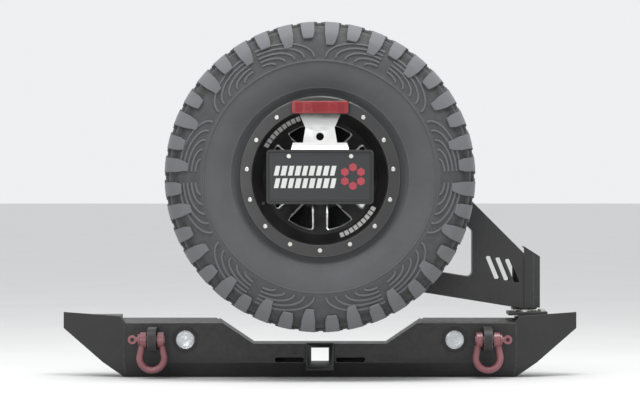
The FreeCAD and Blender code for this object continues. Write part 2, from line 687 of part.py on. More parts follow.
def tailgate_link():
    far = LINK_X - LINK_LENGTH
    near_end, far_end = rod_end(LINK_X, LEFT), rod_end(far, RIGHT)
    turnbuckle = hexagon(22, "X", (LINK_Y, LINK_Z), LINK_X - 40, far + 40)
    turnbuckle = turnbuckle.cut(cylinder(7, "X", (LINK_Y, LINK_Z), far, LINK_X))
    jam_nuts = [nut(7, "X", (LINK_Y, LINK_Z), x, x + 8, 24) for x in (LINK_X - 40, far + 32)]
    pin = joined([bolt(6, "Z", (LINK_X, LINK_Y), LINK_Z + BALL_HALF + 6, LINK_Z - 32, 18, 8),
                  hexagon(18, "Z", (LINK_X, LINK_Y), LINK_Z - 26, LINK_Z - BALL_HALF - 6)])
    return near_end, far_end, turnbuckle, jam_nuts, pin


# ---- wheel mount --------------------------------------------------------------------------------------------
WHEEL = (0.0, WHEEL_Z)
PAD_Y = WHEEL_Y + PAD_OFFSET


def wheel_mount():
    """The sliding tube, the hub plate with its studs, and the post through the wheel."""
    tube_end = PAD_Y + HUB_PLATE
    slide = square_hole(TUBE_HALF, tube_end, TUBE_START).cut(
        square_hole(TUBE_HALF - TUBE_WALL, tube_end - 1, TUBE_START + 1))
    at = on_circle(STUD_CIRCLE_R, STUDS, 90, WHEEL)
    plate = cylinder(HUB_PLATE_R, "Y", WHEEL, PAD_Y, tube_end)
    studs = []
    for centre in at:
        plate = plate.cut(cylinder(STUD_R, "Y", centre, PAD_Y - 1, tube_end + 1))
        studs.append(joined([cylinder(STUD_R, "Y", centre, PAD_Y - 58, tube_end),
                             cylinder(9, "Y", centre, tube_end, tube_end + 6)]))
    post = joined([tube(POST_R, POST_R - 6, "Y", WHEEL, POST_END + 6, PAD_Y),
                   cylinder(POST_FLANGE_R, "Y", WHEEL, POST_END, POST_END + 6)])
    for centre in BRACKET_BOLTS:
        post = post.cut(cylinder(4.5, "Y", centre, POST_END - 1, POST_END + 7))
    return slide, plate, studs, post


# ---- spare wheel --------------------------------------------------------------------------------------------
WALL_POINTS = [(219, 117), (235, 120), (240, 125), (262, 138), (300, 152), (335, 159), (375, 155), (408, 145), (430, 139)]
LINER_POINTS = [(219, 97), (226, 96), (248, 112), (300, 138), (335, 145), (375, 141), (403, 128), (416, 108)]


def tyre():
    """The tyre as a hollow ring: sidewalls through their widest points, and a tread that is nearly flat."""
    tread = [(438, 132), (TYRE_R, 110)]
    outside = WALL_POINTS + tread
    outer = outside + [(r, -y) for r, y in outside[::-1]]
    inner = LINER_POINTS + [(r, -y) for r, y in LINER_POINTS[::-1]]
    profile = outer + inner[::-1]
    return turned([(r, WHEEL_Y + y) for r, y in profile], "Y", WHEEL)


def wheel_barrel(valve):
    """The wheel's outer ring: both bead seats, the drop well and the step under the clamp ring."""
    profile = [(RING_OUT_R, -127), (RING_OUT_R, -119), (219, -117), (219, -95), (204, -76), (197, -40),
               (197, 30), (219, 80), (219, 117), (235, 120), (235, 127), (229, 127), (212, 112), (212, 84),
               (RING_IN_R, 34), (RING_IN_R, -127)]
    barrel = turned([(r, WHEEL_Y + y) for r, y in profile], "Y", WHEEL)
    for centre in ring_bolt_places():
        barrel = barrel.cut(cylinder(4, "Y", centre, WHEEL_Y - 128, WHEEL_Y - 118))
    return barrel.cut(valve)


def wheel_centre(valve):
    """The wheel's dished centre: sloping lip, eight spokes, and the hub with its lug seats."""
    profile = [(RING_IN_R, -127), (RING_IN_R, -48), (165, -52), (150, -46), (88, -2), (84, PAD_OFFSET),
               (CENTRE_BORE_R, PAD_OFFSET), (CENTRE_BORE_R, -40), (80, -40), (95, -50), (152, -80),
               (162, -84), (186, -120)]
    centre = turned([(r, WHEEL_Y + y) for r, y in profile], "Y", WHEEL)
    for window in spoke_windows():
        centre = centre.cut(window)
    for place in on_circle(STUD_CIRCLE_R, STUDS, 90, WHEEL):
        centre = centre.cut(cylinder(7.5, "Y", place, WHEEL_Y - 60, WHEEL_Y + 20))
        centre = centre.cut(cylinder(15.5, "Y", place, WHEEL_Y - 60, WHEEL_Y - 20))
    return centre.cut(valve)


def spoke_windows():
    """One window between each pair of spokes: two sides along the spokes, and an outer side along the rim."""
    inner_r, outer_r, spoke_half = 84.0, 150.0, 22.0
    half = math.pi / SPOKES
    windows = []
    near = (inner_r * math.cos(half) - 4, 6)
    side = math.asin(spoke_half / outer_r)
    reach = outer_r * math.cos(half - side)
    rise = outer_r * math.sin(half - side)
    outline = [(near[0], -near[1]), (reach, -rise), (outer_r, 0), (reach, rise), near]
    for i in range(SPOKES):
        shape = prism(outline, "Y", WHEEL_Y - 100, WHEEL_Y + 20, round_to=5)
        shape.rotate(Vector(0, 0, 0), Vector(0, 1, 0), 360 * (i + 0.5) / SPOKES)
        shape.translate(Vector(0, 0, WHEEL_Z))
        windows.append(shape)
    return windows


def ring_bolt_places():
    return on_circle(RING_BOLT_CIRCLE_R, RING_BOLTS, -90, WHEEL)


def clamp_ring():
    """The outer ring bolted over the rim's edge, and its bolts."""
    back = WHEEL_Y - 127
    front = back - RING
    ring = turned([(RING_IN_R, back), (RING_OUT_R, back), (RING_OUT_R, front + 3), (RING_OUT_R - 4, front),
                   (RING_IN_R + 3, front), (RING_IN_R, front + 3)], "Y", WHEEL)
    bolts = []
    for centre in ring_bolt_places():
        ring = ring.cut(cylinder(4, "Y", centre, front - 1, back + 1))
        bolts.append(joined([cylinder(4, "Y", centre, front, back + 9), cylinder(6.5, "Y", centre, front - 5, front)]))
    return ring, bolts


def valve_stem():
    """A rubber valve through the dished lip, with its cap."""
    at = on_circle(176, 1, 205, WHEEL)[0]
    stem = cylinder(5, "Y", at, WHEEL_Y - 124, WHEEL_Y - 62)
    cap = cylinder(4.5, "Y", at, WHEEL_Y - 136, WHEEL_Y - 124)
    return stem, cap


def lug_nuts():
    """Closed-end wheel nuts seated in the hub's pockets."""
    seat = WHEEL_Y - 20
    nuts = []
    for centre in on_circle(STUD_CIRCLE_R, STUDS, 90, WHEEL):
        body = joined([cylinder(12, "Y", centre, seat - 6, seat), hexagon(21, "Y", centre, seat - 34, seat - 6),
                       cylinder(9, "Y", centre, seat - 38, seat - 34)])
        nuts.append(body.cut(cylinder(STUD_R + 0.1, "Y", centre, PAD_Y - 58.5, seat + 1)))
    return nuts


# ---- brake light and licence plate --------------------------------------------------------------------------
BRACKET_BOLTS = [(x, WHEEL_Z + z) for x in (-30, 30) for z in (-14, 14)]
SPACERS = [(-48, WHEEL_Z - 50), (48, WHEEL_Z - 50)]
PLATE_SCREWS = [(-87, WHEEL_Z + 58), (87, WHEEL_Z + 58)]


def light_bracket():
    """The waisted sheet that rises from the post to the brake light and leans back above its waist."""
    front = POST_END - SHEET
    path = [(front, 436), (front, 640), (LIGHT_BACK, 674), (LIGHT_BACK, 706)]
    sheet = bent_sheet(path, -SHEET, "X", -90, 90)
    right = [(60, 436), (60, 560), (50, 584), (41, 638), (57, 674), (57, 706)]
    left = [(-x, z) for x, z in right[::-1]]
    bracket = sheet.common(prism(right + left, "Y", -560, -440))
    holes = [cylinder(11, "Y", (0, 613), -560, -440)]
    holes += [cylinder(4, "Y", at, -560, -440) for at in BRACKET_BOLTS + SPACERS]
    for hole in holes:
        bracket = bracket.cut(hole)
    return bracket


def plate_holder():
    """The sheet that carries the licence plate, with a joggled upper lip fixed to the light bracket."""
    back = POST_END - SHEET
    path = [(HOLDER_Y, 440), (HOLDER_Y, 577), (back - SHEET, 588), (back - SHEET, 596)]
    sheet = bent_sheet(path, -SHEET, "X", -82, 82)
    holder = sheet.common(prism([(-76, 430), (-76, 560), (-82, 574), (-76, 597), (76, 597), (82, 574),
                                 (76, 560), (76, 430)], "Y", -560, -440))
    for at in SPACERS:
        holder = holder.cut(cylinder(4, "Y", at, -560, -440))
    return holder


def holder_spacers():
    """Spacer tubes between the bracket and the holder, each with its screw."""
    tubes = [tube(8, 4, "Y", at, HOLDER_Y + SHEET, POST_END - SHEET) for at in SPACERS]
    screws = [joined([cylinder(4, "Y", at, HOLDER_Y + 1, POST_END - SHEET + 3),
                      hexagon(13, "Y", at, POST_END, POST_END + 6)]) for at in SPACERS]
    return tubes, screws


def bracket_bolts():
    return [bolt(4, "Y", at, POST_END - SHEET, POST_END + 18, 13, 5.5) for at in BRACKET_BOLTS]


def licence_plate():
    """The blank plate, the frame round it and its two screws."""
    low, high = WHEEL_Z - PLATE_HALF_Z, WHEEL_Z + PLATE_HALF_Z

    def rectangle(inset, start, end, corner):
        x, z0, z1 = PLATE_HALF_X - inset, low + inset, high - inset
        return prism([(-x, z0), (x, z0), (x, z1), (-x, z1)], "Y", start, end, round_to=corner)

    front = HOLDER_Y - 2
    plate = rectangle(2, front, HOLDER_Y, 9)
    frame = rectangle(0, front - 3, front, 10).cut(rectangle(7, front - 4, front + 1, 6))
    rim = rectangle(0, front, HOLDER_Y, 10).cut(rectangle(2, front - 1, HOLDER_Y + 1, 9))
    frame = joined([frame, rim])
    screws = []
    for at in PLATE_SCREWS:
        plate = plate.cut(cylinder(3, "Y", at, front - 1, HOLDER_Y + 1))
        screws.append(joined([cylinder(3, "Y", at, front, HOLDER_Y), cylinder(6, "Y", at, front - 3, front)]))
    return plate, frame, screws


def brake_light():
    """The third brake light: housing with a cable gland, reflector tray, lamp board and red lens."""
    half, low, high = LIGHT_HALF_X, LIGHT_BOTTOM, LIGHT_TOP

    def box(inset, start, end, corner):
        x, z0, z1 = half - inset, low + inset, high - inset
        return prism([(-x, z0), (x, z0), (x, z1), (-x, z1)], "Y", start, end, round_to=corner)

    housing = box(0, LIGHT_FRONT, LIGHT_BACK, 6).cut(box(3, LIGHT_FRONT - 1, LIGHT_BACK - 4, 4))
    board = box(3.2, LIGHT_BACK - 5.6, LIGHT_BACK - 4, 4)
    tray = box(3.2, LIGHT_BACK - 9, LIGHT_BACK - 5.6, 4)
    lens = joined([box(3, LIGHT_FRONT, LIGHT_FRONT + 3, 4), box(1.5, LIGHT_FRONT - 6, LIGHT_FRONT, 5)])
    gland = cylinder(6, "Y", (66, LIGHT_BOTTOM + 19), LIGHT_BACK, LIGHT_BACK + 8)
    screws = [joined([cylinder(2.5, "Y", (x, LIGHT_BOTTOM + 22), LIGHT_BACK - 4, LIGHT_BACK + SHEET),
                      cylinder(4.5, "Y", (x, LIGHT_BOTTOM + 22), LIGHT_BACK + SHEET, LIGHT_BACK + SHEET + 3)])
              for x in (-40, 40)]
    return [housing, gland], [board, tray], lens, screws


# ---- the whole carrier --------------------------------------------------------------------------------------
def both_sides(shape):
    return [shape, mirrored(shape)]


def bumper_nodes():
    tube_body, collar, tube_space = receiver()
    tabs = both_sides(right_shackle_tab())
    base_bolts = hinge_base_bolts()
    spindle_hole = cylinder(20, "Z", HINGE, 0, 200)
    socket_space = cylinder(SOCKET_TUBE_R, "Z", HINGE, -10, WING_TOP - PLATE)
    right_top, left_top = both_sides(right_wing_top())
    right_top = right_top.cut(socket_space)
    centre_tops = both_sides(right_top_plate())
    centre_tops[0] = centre_tops[0].cut(socket_space)
    base = hinge_base()
    for bolt_shape in base_bolts[:3]:
        right_top = right_top.cut(bolt_shape)
        base = base.cut(bolt_shape)
    nodes = {
        "centre_face": [centre_face([tube_space] + tabs)],
        "wing_faces": both_sides(right_wing()) + both_sides(right_end_plate()),
        "top_plates": [right_top.cut(spindle_hole), left_top, *centre_tops],
        "back_wall": [back_wall([tube_space])],
        "pocket_plate": [pocket_plate()],
        "inner_ribs": inner_ribs(),
        "frame_brackets": both_sides(right_frame_bracket()),
        "receiver": [tube_body, collar],
        "shackle_tabs": tabs,
        "hinge_base": [base, spindle_socket()],
        "hinge_base_bolts": base_bolts,
    }
    for name, shape in (("shackle_bow", right_shackle_bow()), ("shackle_pin", right_shackle_pin())):
        nodes["right_" + name] = [shape]
        nodes["left_" + name] = [mirrored(shape)]
    lamp = right_reversing_light()
    nodes["reversing_light_grommets"] = both_sides(lamp["grommet"])
    nodes["reversing_light_housings"] = both_sides(lamp["housing"]) + both_sides(lamp["reflector"])
    nodes["reversing_light_lenses"] = both_sides(lamp["lens"])
    return nodes


def hinge_nodes():
    inner, outer, rollers, cages = bearings()
    lower = LOWER_BEARING_Z
    spacer = tube(20.5, SPINDLE_R, "Z", HINGE, 113, lower)
    washer = tube(24, 14, "Z", HINGE, UPPER_BEARING_Z + BEARING_HEIGHT, 232)
    castle_nut = nut(14, "Z", HINGE, 232, 245, 40)
    cap = turned([(0, 262), (33, 262), (36, 259), (36, BARREL_TOP), (SEAT_R, BARREL_TOP), (SEAT_R, 246),
                  (28, 246), (28, 257), (0, 257)], "Z", HINGE)
    fitting = turned([(0, 262), (6, 262), (6, 266), (3.5, 267), (3.5, 271), (2.5, 274), (0, 274)], "Z", HINGE)
    seal = tube(SEAT_R, 20.6, "Z", HINGE, BARREL_BOTTOM + 0.5, lower - 0.5)
    body, pin, knob, spring = hold_open_pin()
    return {
        "hinge_spindle": [spindle()], "spindle_nut_and_washers": [spacer, washer, castle_nut],
        "bearing_inner_rings": inner, "bearing_outer_rings": outer, "bearing_rollers": rollers + cages,
        "hinge_barrel": [hinge_barrel()], "hinge_seal": [seal], "hinge_dust_cap": [cap, fitting],
        "hinge_shroud": [hinge_shroud()], "arm_brackets": [body, link_bracket()],
        "hold_open_pin": [pin, knob], "hold_open_spring": [spring],
    }


def arm_nodes():
    bolts, nuts, holes = socket_clamp_bolts()
    socket = mount_socket()
    for hole in holes:
        socket = socket.cut(hole)
    pads, screws = bump_stops()
    near_end, far_end, turnbuckle, jam_nuts, pin = tailgate_link()
    return {
        "arm_rear_plate": [arm_side_plate(ARM_REAR_FACE)],
        "arm_front_plate": [arm_side_plate(ARM_FRONT_FACE - PLATE)],
        "arm_edge_strips": arm_edges(),
        "mount_socket": [socket], "arm_fasteners": bolts + nuts + screws,
        "bump_stops": pads, "link_bolt": [pin], "link_near_ball": [ball(LINK_X)],
        "link_rod_ends": [near_end, far_end], "link_turnbuckle": [turnbuckle] + jam_nuts,
        "link_far_ball": [ball(LINK_X - LINK_LENGTH)],
    }


def wheel_nodes():
    slide, hub, studs, post = wheel_mount()
    ring, ring_bolts = clamp_ring()
    stem, cap = valve_stem()
    tubes, spacer_screws = holder_spacers()
    plate, frame, plate_screws = licence_plate()
    housing, board, lens, light_screws = brake_light()
    bracket = light_bracket()
    for screw in light_screws:
        bracket = bracket.cut(screw)
        housing[0] = housing[0].cut(screw)
    return {
        "mount_tube": [slide], "hub_plate": [hub], "wheel_studs": studs, "centre_post": [post],
        "tyre": [tyre()], "wheel_barrel": [wheel_barrel(stem)], "wheel_centre": [wheel_centre(stem)],
        "clamp_ring": [ring], "clamp_ring_bolts": ring_bolts, "valve_stem": [stem, cap], "lug_nuts": lug_nuts(),
        "light_bracket": [bracket], "plate_holder": [plate_holder()],
        "bracket_fasteners": bracket_bolts() + tubes + spacer_screws + light_screws + plate_screws,
        "licence_plate": [plate], "plate_frame": [frame],
        "brake_light_housing": housing, "brake_light_board": board, "brake_light_lens": [lens],
    }


def export(nodes):
    """One STEP file per node. A node with several solids is written as a compound."""
    os.makedirs("parts", exist_ok=True)
    for old in os.listdir("parts"):
        os.remove(os.path.join("parts", old))
    for name, shapes in nodes.items():
        solids = [solid for shape in shapes for solid in shape.Solids]
        for solid in solids:
            if not solid.isValid() or solid.Volume <= 0:
                print("a solid of", name, "is not sound")
        whole = solids[0] if len(solids) == 1 else Part.makeCompound(solids)
        whole.exportStep(os.path.join("parts", name + ".step"))
    print(len(nodes), "nodes")


export({**bumper_nodes(), **hinge_nodes(), **arm_nodes(), **wheel_nodes()})
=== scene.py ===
import json
import math
import random

import bmesh
import bpy
from mathutils import Matrix, Vector


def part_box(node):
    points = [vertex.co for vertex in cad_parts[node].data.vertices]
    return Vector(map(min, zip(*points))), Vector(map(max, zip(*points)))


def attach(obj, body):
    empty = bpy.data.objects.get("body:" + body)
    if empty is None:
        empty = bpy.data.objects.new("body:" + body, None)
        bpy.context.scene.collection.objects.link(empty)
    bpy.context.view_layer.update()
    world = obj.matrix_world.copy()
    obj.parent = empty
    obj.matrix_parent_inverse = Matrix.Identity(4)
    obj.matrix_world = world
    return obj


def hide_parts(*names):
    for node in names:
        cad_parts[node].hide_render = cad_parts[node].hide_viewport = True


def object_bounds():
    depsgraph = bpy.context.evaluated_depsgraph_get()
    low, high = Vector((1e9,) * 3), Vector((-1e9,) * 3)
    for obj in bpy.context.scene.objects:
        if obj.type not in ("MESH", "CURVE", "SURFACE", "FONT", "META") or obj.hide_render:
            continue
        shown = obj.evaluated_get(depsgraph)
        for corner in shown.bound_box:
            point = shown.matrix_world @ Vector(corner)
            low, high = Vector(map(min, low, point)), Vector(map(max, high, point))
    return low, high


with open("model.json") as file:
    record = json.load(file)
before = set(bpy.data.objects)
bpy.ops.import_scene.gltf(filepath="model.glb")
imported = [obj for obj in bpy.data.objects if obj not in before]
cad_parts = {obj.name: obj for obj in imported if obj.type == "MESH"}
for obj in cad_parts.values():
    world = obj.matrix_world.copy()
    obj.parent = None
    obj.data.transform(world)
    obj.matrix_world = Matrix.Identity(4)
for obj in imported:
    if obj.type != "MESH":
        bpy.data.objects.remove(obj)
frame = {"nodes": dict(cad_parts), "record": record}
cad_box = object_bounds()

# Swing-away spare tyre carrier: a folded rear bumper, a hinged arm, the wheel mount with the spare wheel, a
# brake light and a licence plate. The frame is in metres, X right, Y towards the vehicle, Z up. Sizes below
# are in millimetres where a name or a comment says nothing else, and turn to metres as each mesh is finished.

MM = 0.001
RIGHT, LEFT = 1, -1

# places that the pieces share, read from the frame where it holds them
tyre_low, tyre_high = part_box("tyre")
AXLE_Z = (tyre_low.z + tyre_high.z) / 2 / MM
AXLE_Y = (tyre_low.y + tyre_high.y) / 2 / MM
TREAD_R = (tyre_high.x - tyre_low.x) / 2 / MM
SIDE_Y = (tyre_high.y - tyre_low.y) / 2 / MM
RING_FRONT_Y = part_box("clamp_ring")[0].y / MM
PLATE_LOW, PLATE_HIGH = (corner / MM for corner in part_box("licence_plate"))
LENS_LOW, LENS_HIGH = (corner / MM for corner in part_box("brake_light_lens"))
LAMP_LOW, LAMP_HIGH = (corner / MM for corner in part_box("reversing_light_lenses"))


# ---- nodes of a material ---------------------------------------------------------------------------------
def linear(code):
    """An sRGB hex colour as linear red, green, blue and a full alpha."""
    parts = [int(code[i:i + 2], 16) / 255 for i in (1, 3, 5)]
    return [p / 12.92 if p <= 0.04045 else ((p + 0.055) / 1.055) ** 2.4 for p in parts] + [1.0]


def per_metre(size):
    """The scale of a pattern whose features are this many millimetres across."""
    return 1000.0 / size


def wire(material, node, links):
    """Gives a node's inputs their values, or the sockets that feed them."""
    for name, value in links.items():
        if isinstance(value, bpy.types.NodeSocket):
            material.node_tree.links.new(value, node.inputs[name])
        else:
            node.inputs[name].default_value = value


def add(material, kind, settings=None, links=None):
    """Adds one node with its own settings and its inputs, and returns it."""
    node = material.node_tree.nodes.new("ShaderNode" + kind)
    for name, value in (settings or {}).items():
        setattr(node, name, value)
    wire(material, node, links or {})
    return node


def new_finish(name, **sockets):
    """A material, its shader with the finish's constant values on its own sockets, and the object's own
    coordinates for its patterns."""
    material = bpy.data.materials.new(name)
    material.use_nodes = True
    shader = material.node_tree.nodes["Principled BSDF"]
    wire(material, shader, {socket.replace("_", " "): value for socket, value in sockets.items()})
    return material, shader, add(material, "TexCoord").outputs["Object"]


COLOUR_MIX = {"data_type": "RGBA"}
MIX_FACTOR, MIX_A, MIX_B, MIX_OUT = 0, 6, 7, 2


def textured_powder_coat():
    """Polyester powder, sprayed and baked on blasted steel with a fine sand texture. It gives a broken, soft
    sheen, pale dust where it faces up, and edges that handling has rubbed smoother and greyer."""
    m, shader, place = new_finish("textured_powder_coat", IOR=1.5)
    # the texture's grains are 0.5 mm, drawn at 1.8 mm so that they show
    sand = add(m, "TexNoise", None, {"Vector": place, "Scale": per_metre(1.8), "Detail": 2.0,
                                     "Roughness": 0.6})
    cloud = add(m, "TexNoise", None, {"Vector": place, "Scale": per_metre(120), "Detail": 6.0,
                                      "Roughness": 0.6})
    smear = add(m, "TexNoise", None, {"Vector": place, "Scale": per_metre(14), "Detail": 5.0,
                                      "Roughness": 0.65})
    tone = add(m, "Mix", COLOUR_MIX, {MIX_FACTOR: cloud.outputs["Fac"], MIX_A: linear("#1e1e1e"),
                                      MIX_B: linear("#2c2c2b")})
    facing = add(m, "SeparateXYZ", None, {"Vector": add(m, "NewGeometry").outputs["Normal"]})
    up = add(m, "MapRange", None, {"Value": facing.outputs["Z"], "From Min": 0.45, "From Max": 1.0,
                                   "To Max": 0.42})
    settled = add(m, "Math", {"operation": "MULTIPLY"}, {0: up.outputs[0], 1: cloud.outputs["Fac"]})
    tone_by_place = add(m, "Mix", COLOUR_MIX, {MIX_FACTOR: settled.outputs[0], MIX_A: tone.outputs[MIX_OUT],
                                       MIX_B: linear("#6f6c66")})
    rubbed = add(m, "Attribute", {"attribute_name": "rubbed"})
    patchy = add(m, "MapRange", None, {"Value": smear.outputs["Fac"], "From Min": 0.42, "From Max": 0.62,
                                       "To Min": 0.12, "To Max": 0.75})
    wear = add(m, "Math", {"operation": "MULTIPLY"}, {0: rubbed.outputs["Fac"], 1: patchy.outputs[0]})
    worn = add(m, "Mix", COLOUR_MIX, {MIX_FACTOR: wear.outputs[0], MIX_A: tone_by_place.outputs[MIX_OUT],
                                      MIX_B: linear("#6a6967")})
    gloss = add(m, "MapRange", None, {"Value": smear.outputs["Fac"], "From Min": 0.3, "From Max": 0.7,
                                      "To Min": 0.4, "To Max": 0.6})
    bump = add(m, "Bump", None, {"Height": sand.outputs["Fac"], "Strength": 0.35, "Distance": 0.0006})
    wire(m, shader, {"Base Color": worn.outputs[MIX_OUT], "Roughness": gloss.outputs[0],
                     "Normal": bump.outputs["Normal"]})
    return m


def tyre_rubber():
    """Carbon-black rubber from a steel mould: matt and slightly grey with bloom, with painted shade low in
    the tread and a painted highlight where blocks and ribs stand proud."""
    m, shader, place = new_finish("vulcanised_tyre_rubber", IOR=1.52, Sheen_Weight=0.12, Sheen_Roughness=0.5)
    skin = add(m, "TexNoise", None, {"Vector": place, "Scale": per_metre(2.5), "Detail": 4.0,
                                     "Roughness": 0.65})
    bloom = add(m, "TexNoise", None, {"Vector": place, "Scale": per_metre(150), "Detail": 7.0,
                                      "Roughness": 0.6})
    scuff = add(m, "TexNoise", None, {"Vector": place, "Scale": per_metre(18), "Detail": 6.0,
                                      "Roughness": 0.7})
    height = add(m, "Attribute", {"attribute_name": "height"})
    tone = add(m, "Mix", COLOUR_MIX, {MIX_FACTOR: bloom.outputs["Fac"], MIX_A: linear("#3e3f41"),
                                      MIX_B: linear("#545558")})
    # painted shade: the low places of the tread and the carcass between the ribs turn darker, mottled by the
    # scuff noise
    low = add(m, "MapRange", None, {"Value": height.outputs["Fac"], "From Min": 0.0, "From Max": 0.4,
                                    "To Min": 1.6, "To Max": 0.1})
    painted_shade_in_lows = add(m, "Math", {"operation": "MULTIPLY"}, {0: low.outputs[0], 1: scuff.outputs["Fac"]})
    tone_by_place = add(m, "Mix", COLOUR_MIX, {MIX_FACTOR: painted_shade_in_lows.outputs[0], MIX_A: tone.outputs[MIX_OUT],
                                       MIX_B: linear("#242321")})
    # painted highlight: the tops of the blocks and the ribs turn paler
    pale = add(m, "MapRange", None, {"Value": height.outputs["Fac"], "From Min": 0.6, "From Max": 1.0,
                                     "To Max": 0.45})
    raised = add(m, "Mix", COLOUR_MIX, {MIX_FACTOR: pale.outputs[0], MIX_A: tone_by_place.outputs[MIX_OUT],
                                        MIX_B: linear("#77787b")})
    gloss = add(m, "MapRange", None, {"Value": scuff.outputs["Fac"], "To Min": 0.58, "To Max": 0.78})
    bump = add(m, "Bump", None, {"Height": skin.outputs["Fac"], "Strength": 0.3, "Distance": 0.0006})
    wire(m, shader, {"Base Color": raised.outputs[MIX_OUT], "Roughness": gloss.outputs[0],
                     "Normal": bump.outputs["Normal"]})
    return m


def satin_wheel_paint():
    """Black wheel enamel over cast aluminium: smooth and satin, with a film of brake dust in soft patches."""
    m, shader, place = new_finish("satin_black_wheel_enamel", IOR=1.5, Coat_Weight=0.25, Coat_Roughness=0.2)
    film = add(m, "TexNoise", None, {"Vector": place, "Scale": per_metre(55), "Detail": 6.0,
                                     "Roughness": 0.6})
    flow = add(m, "TexNoise", None, {"Vector": place, "Scale": per_metre(3), "Detail": 1.0})
    tone = add(m, "Mix", COLOUR_MIX, {MIX_FACTOR: film.outputs["Fac"], MIX_A: linear("#121213"),
                                      MIX_B: linear("#2c2b2a")})
    rubbed = add(m, "Attribute", {"attribute_name": "rubbed"})
    edge = add(m, "Math", {"operation": "MULTIPLY"}, {0: rubbed.outputs["Fac"], 1: 0.35})
    worn = add(m, "Mix", COLOUR_MIX, {MIX_FACTOR: edge.outputs[0], MIX_A: tone.outputs[MIX_OUT],
                                      MIX_B: linear("#5d5d5e")})
    gloss = add(m, "MapRange", None, {"Value": film.outputs["Fac"], "From Min": 0.3, "From Max": 0.7,
                                      "To Min": 0.28, "To Max": 0.48})
    bump = add(m, "Bump", None, {"Height": flow.outputs["Fac"], "Strength": 0.12, "Distance": 0.0003})
    wire(m, shader, {"Base Color": worn.outputs[MIX_OUT], "Roughness": gloss.outputs[0],
                     "Normal": bump.outputs["Normal"]})
    return m


def milled_aluminium():
    """Aluminium cut bare by an end mill: bright, with fine parallel tool marks and a clear-coat's gloss."""
    m, shader, place = new_finish("end_milled_aluminium", Metallic=1.0, Coat_Weight=0.3, Coat_Roughness=0.15)
    # tool marks 0.2 mm apart, drawn at 1 mm
    turned = add(m, "Mapping", None, {"Vector": place, "Rotation": (0.3, 0.5, 0.2),
                                      "Scale": (per_metre(1), per_metre(20), per_metre(20))})
    marks = add(m, "TexNoise", None, {"Vector": turned.outputs[0], "Scale": 1.0, "Detail": 3.0})
    tone = add(m, "Mix", COLOUR_MIX, {MIX_FACTOR: marks.outputs["Fac"], MIX_A: linear("#c3c4c4"),
                                      MIX_B: linear("#ecedec")})
    gloss = add(m, "MapRange", None, {"Value": marks.outputs["Fac"], "To Min": 0.2, "To Max": 0.42})
    wire(m, shader, {"Base Color": tone.outputs[MIX_OUT], "Roughness": gloss.outputs[0]})
    return m


def brushed_aluminium():
    """Mill-finish aluminium sheet, brushed across its width: silky streaks and faint finger marks."""
    m, shader, place = new_finish("brushed_aluminium_sheet", Metallic=1.0)
    # the grain is 0.15 mm wide, drawn at 0.9 mm, and runs about 60 mm
    drawn = add(m, "Mapping", None, {"Vector": place, "Scale": (per_metre(60), per_metre(4), per_metre(0.9))})
    grain = add(m, "TexNoise", None, {"Vector": drawn.outputs[0], "Scale": 1.0, "Detail": 5.0,
                                      "Roughness": 0.7})
    hands = add(m, "TexNoise", None, {"Vector": place, "Scale": per_metre(22), "Detail": 5.0})
    tone = add(m, "Mix", COLOUR_MIX, {MIX_FACTOR: grain.outputs["Fac"], MIX_A: linear("#b4b5b4"),
                                      MIX_B: linear("#ececea")})
    dull = add(m, "MapRange", None, {"Value": hands.outputs["Fac"], "From Min": 0.35, "From Max": 0.7,
                                     "To Min": 0.3, "To Max": 0.5})
    bump = add(m, "Bump", None, {"Height": grain.outputs["Fac"], "Strength": 0.25, "Distance": 0.0002})
    wire(m, shader, {"Base Color": tone.outputs[MIX_OUT], "Roughness": dull.outputs[0],
                     "Normal": bump.outputs["Normal"]})
    return m


def zinc_plate():
    """Bright zinc on steel fasteners and rod ends: a cool grey metal with a faint yellow and blue bloom and
    duller patches of white oxide."""
    m, shader, place = new_finish("bright_zinc_plate", Metallic=1.0)
    bloom = add(m, "TexNoise", None, {"Vector": place, "Scale": per_metre(9), "Detail": 4.0})
    spots = add(m, "TexNoise", None, {"Vector": place, "Scale": per_metre(2), "Detail": 4.0,
                                      "Roughness": 0.7})
    tint = add(m, "Mix", COLOUR_MIX, {MIX_FACTOR: bloom.outputs["Fac"], MIX_A: linear("#b9bcc2"),
                                      MIX_B: linear("#d3cfc0")})
    oxide = add(m, "MapRange", None, {"Value": spots.outputs["Fac"], "From Min": 0.55, "From Max": 0.75,
                                      "To Max": 0.5})
    tone = add(m, "Mix", COLOUR_MIX, {MIX_FACTOR: oxide.outputs[0], MIX_A: tint.outputs[MIX_OUT],
                                      MIX_B: linear("#dedfdc")})
    gloss = add(m, "MapRange", None, {"Value": spots.outputs["Fac"], "To Min": 0.22, "To Max": 0.5})
    wire(m, shader, {"Base Color": tone.outputs[MIX_OUT], "Roughness": gloss.outputs[0]})
    return m


def ground_steel():
    """Hardened bearing steel, ground and oiled: bright, with fine rings and a thin brown oil film."""
    m, shader, place = new_finish("ground_bearing_steel", Metallic=1.0)
    rings = add(m, "Mapping", None, {"Vector": place,
                                     "Scale": (per_metre(40), per_metre(40), per_metre(0.8))})
    marks = add(m, "TexNoise", None, {"Vector": rings.outputs[0], "Scale": 1.0, "Detail": 3.0})
    tone = add(m, "Mix", COLOUR_MIX, {MIX_FACTOR: marks.outputs["Fac"], MIX_A: linear("#8e8a84"),
                                      MIX_B: linear("#c9c8c6")})
    gloss = add(m, "MapRange", None, {"Value": marks.outputs["Fac"], "To Min": 0.15, "To Max": 0.32})
    wire(m, shader, {"Base Color": tone.outputs[MIX_OUT], "Roughness": gloss.outputs[0]})
    return m


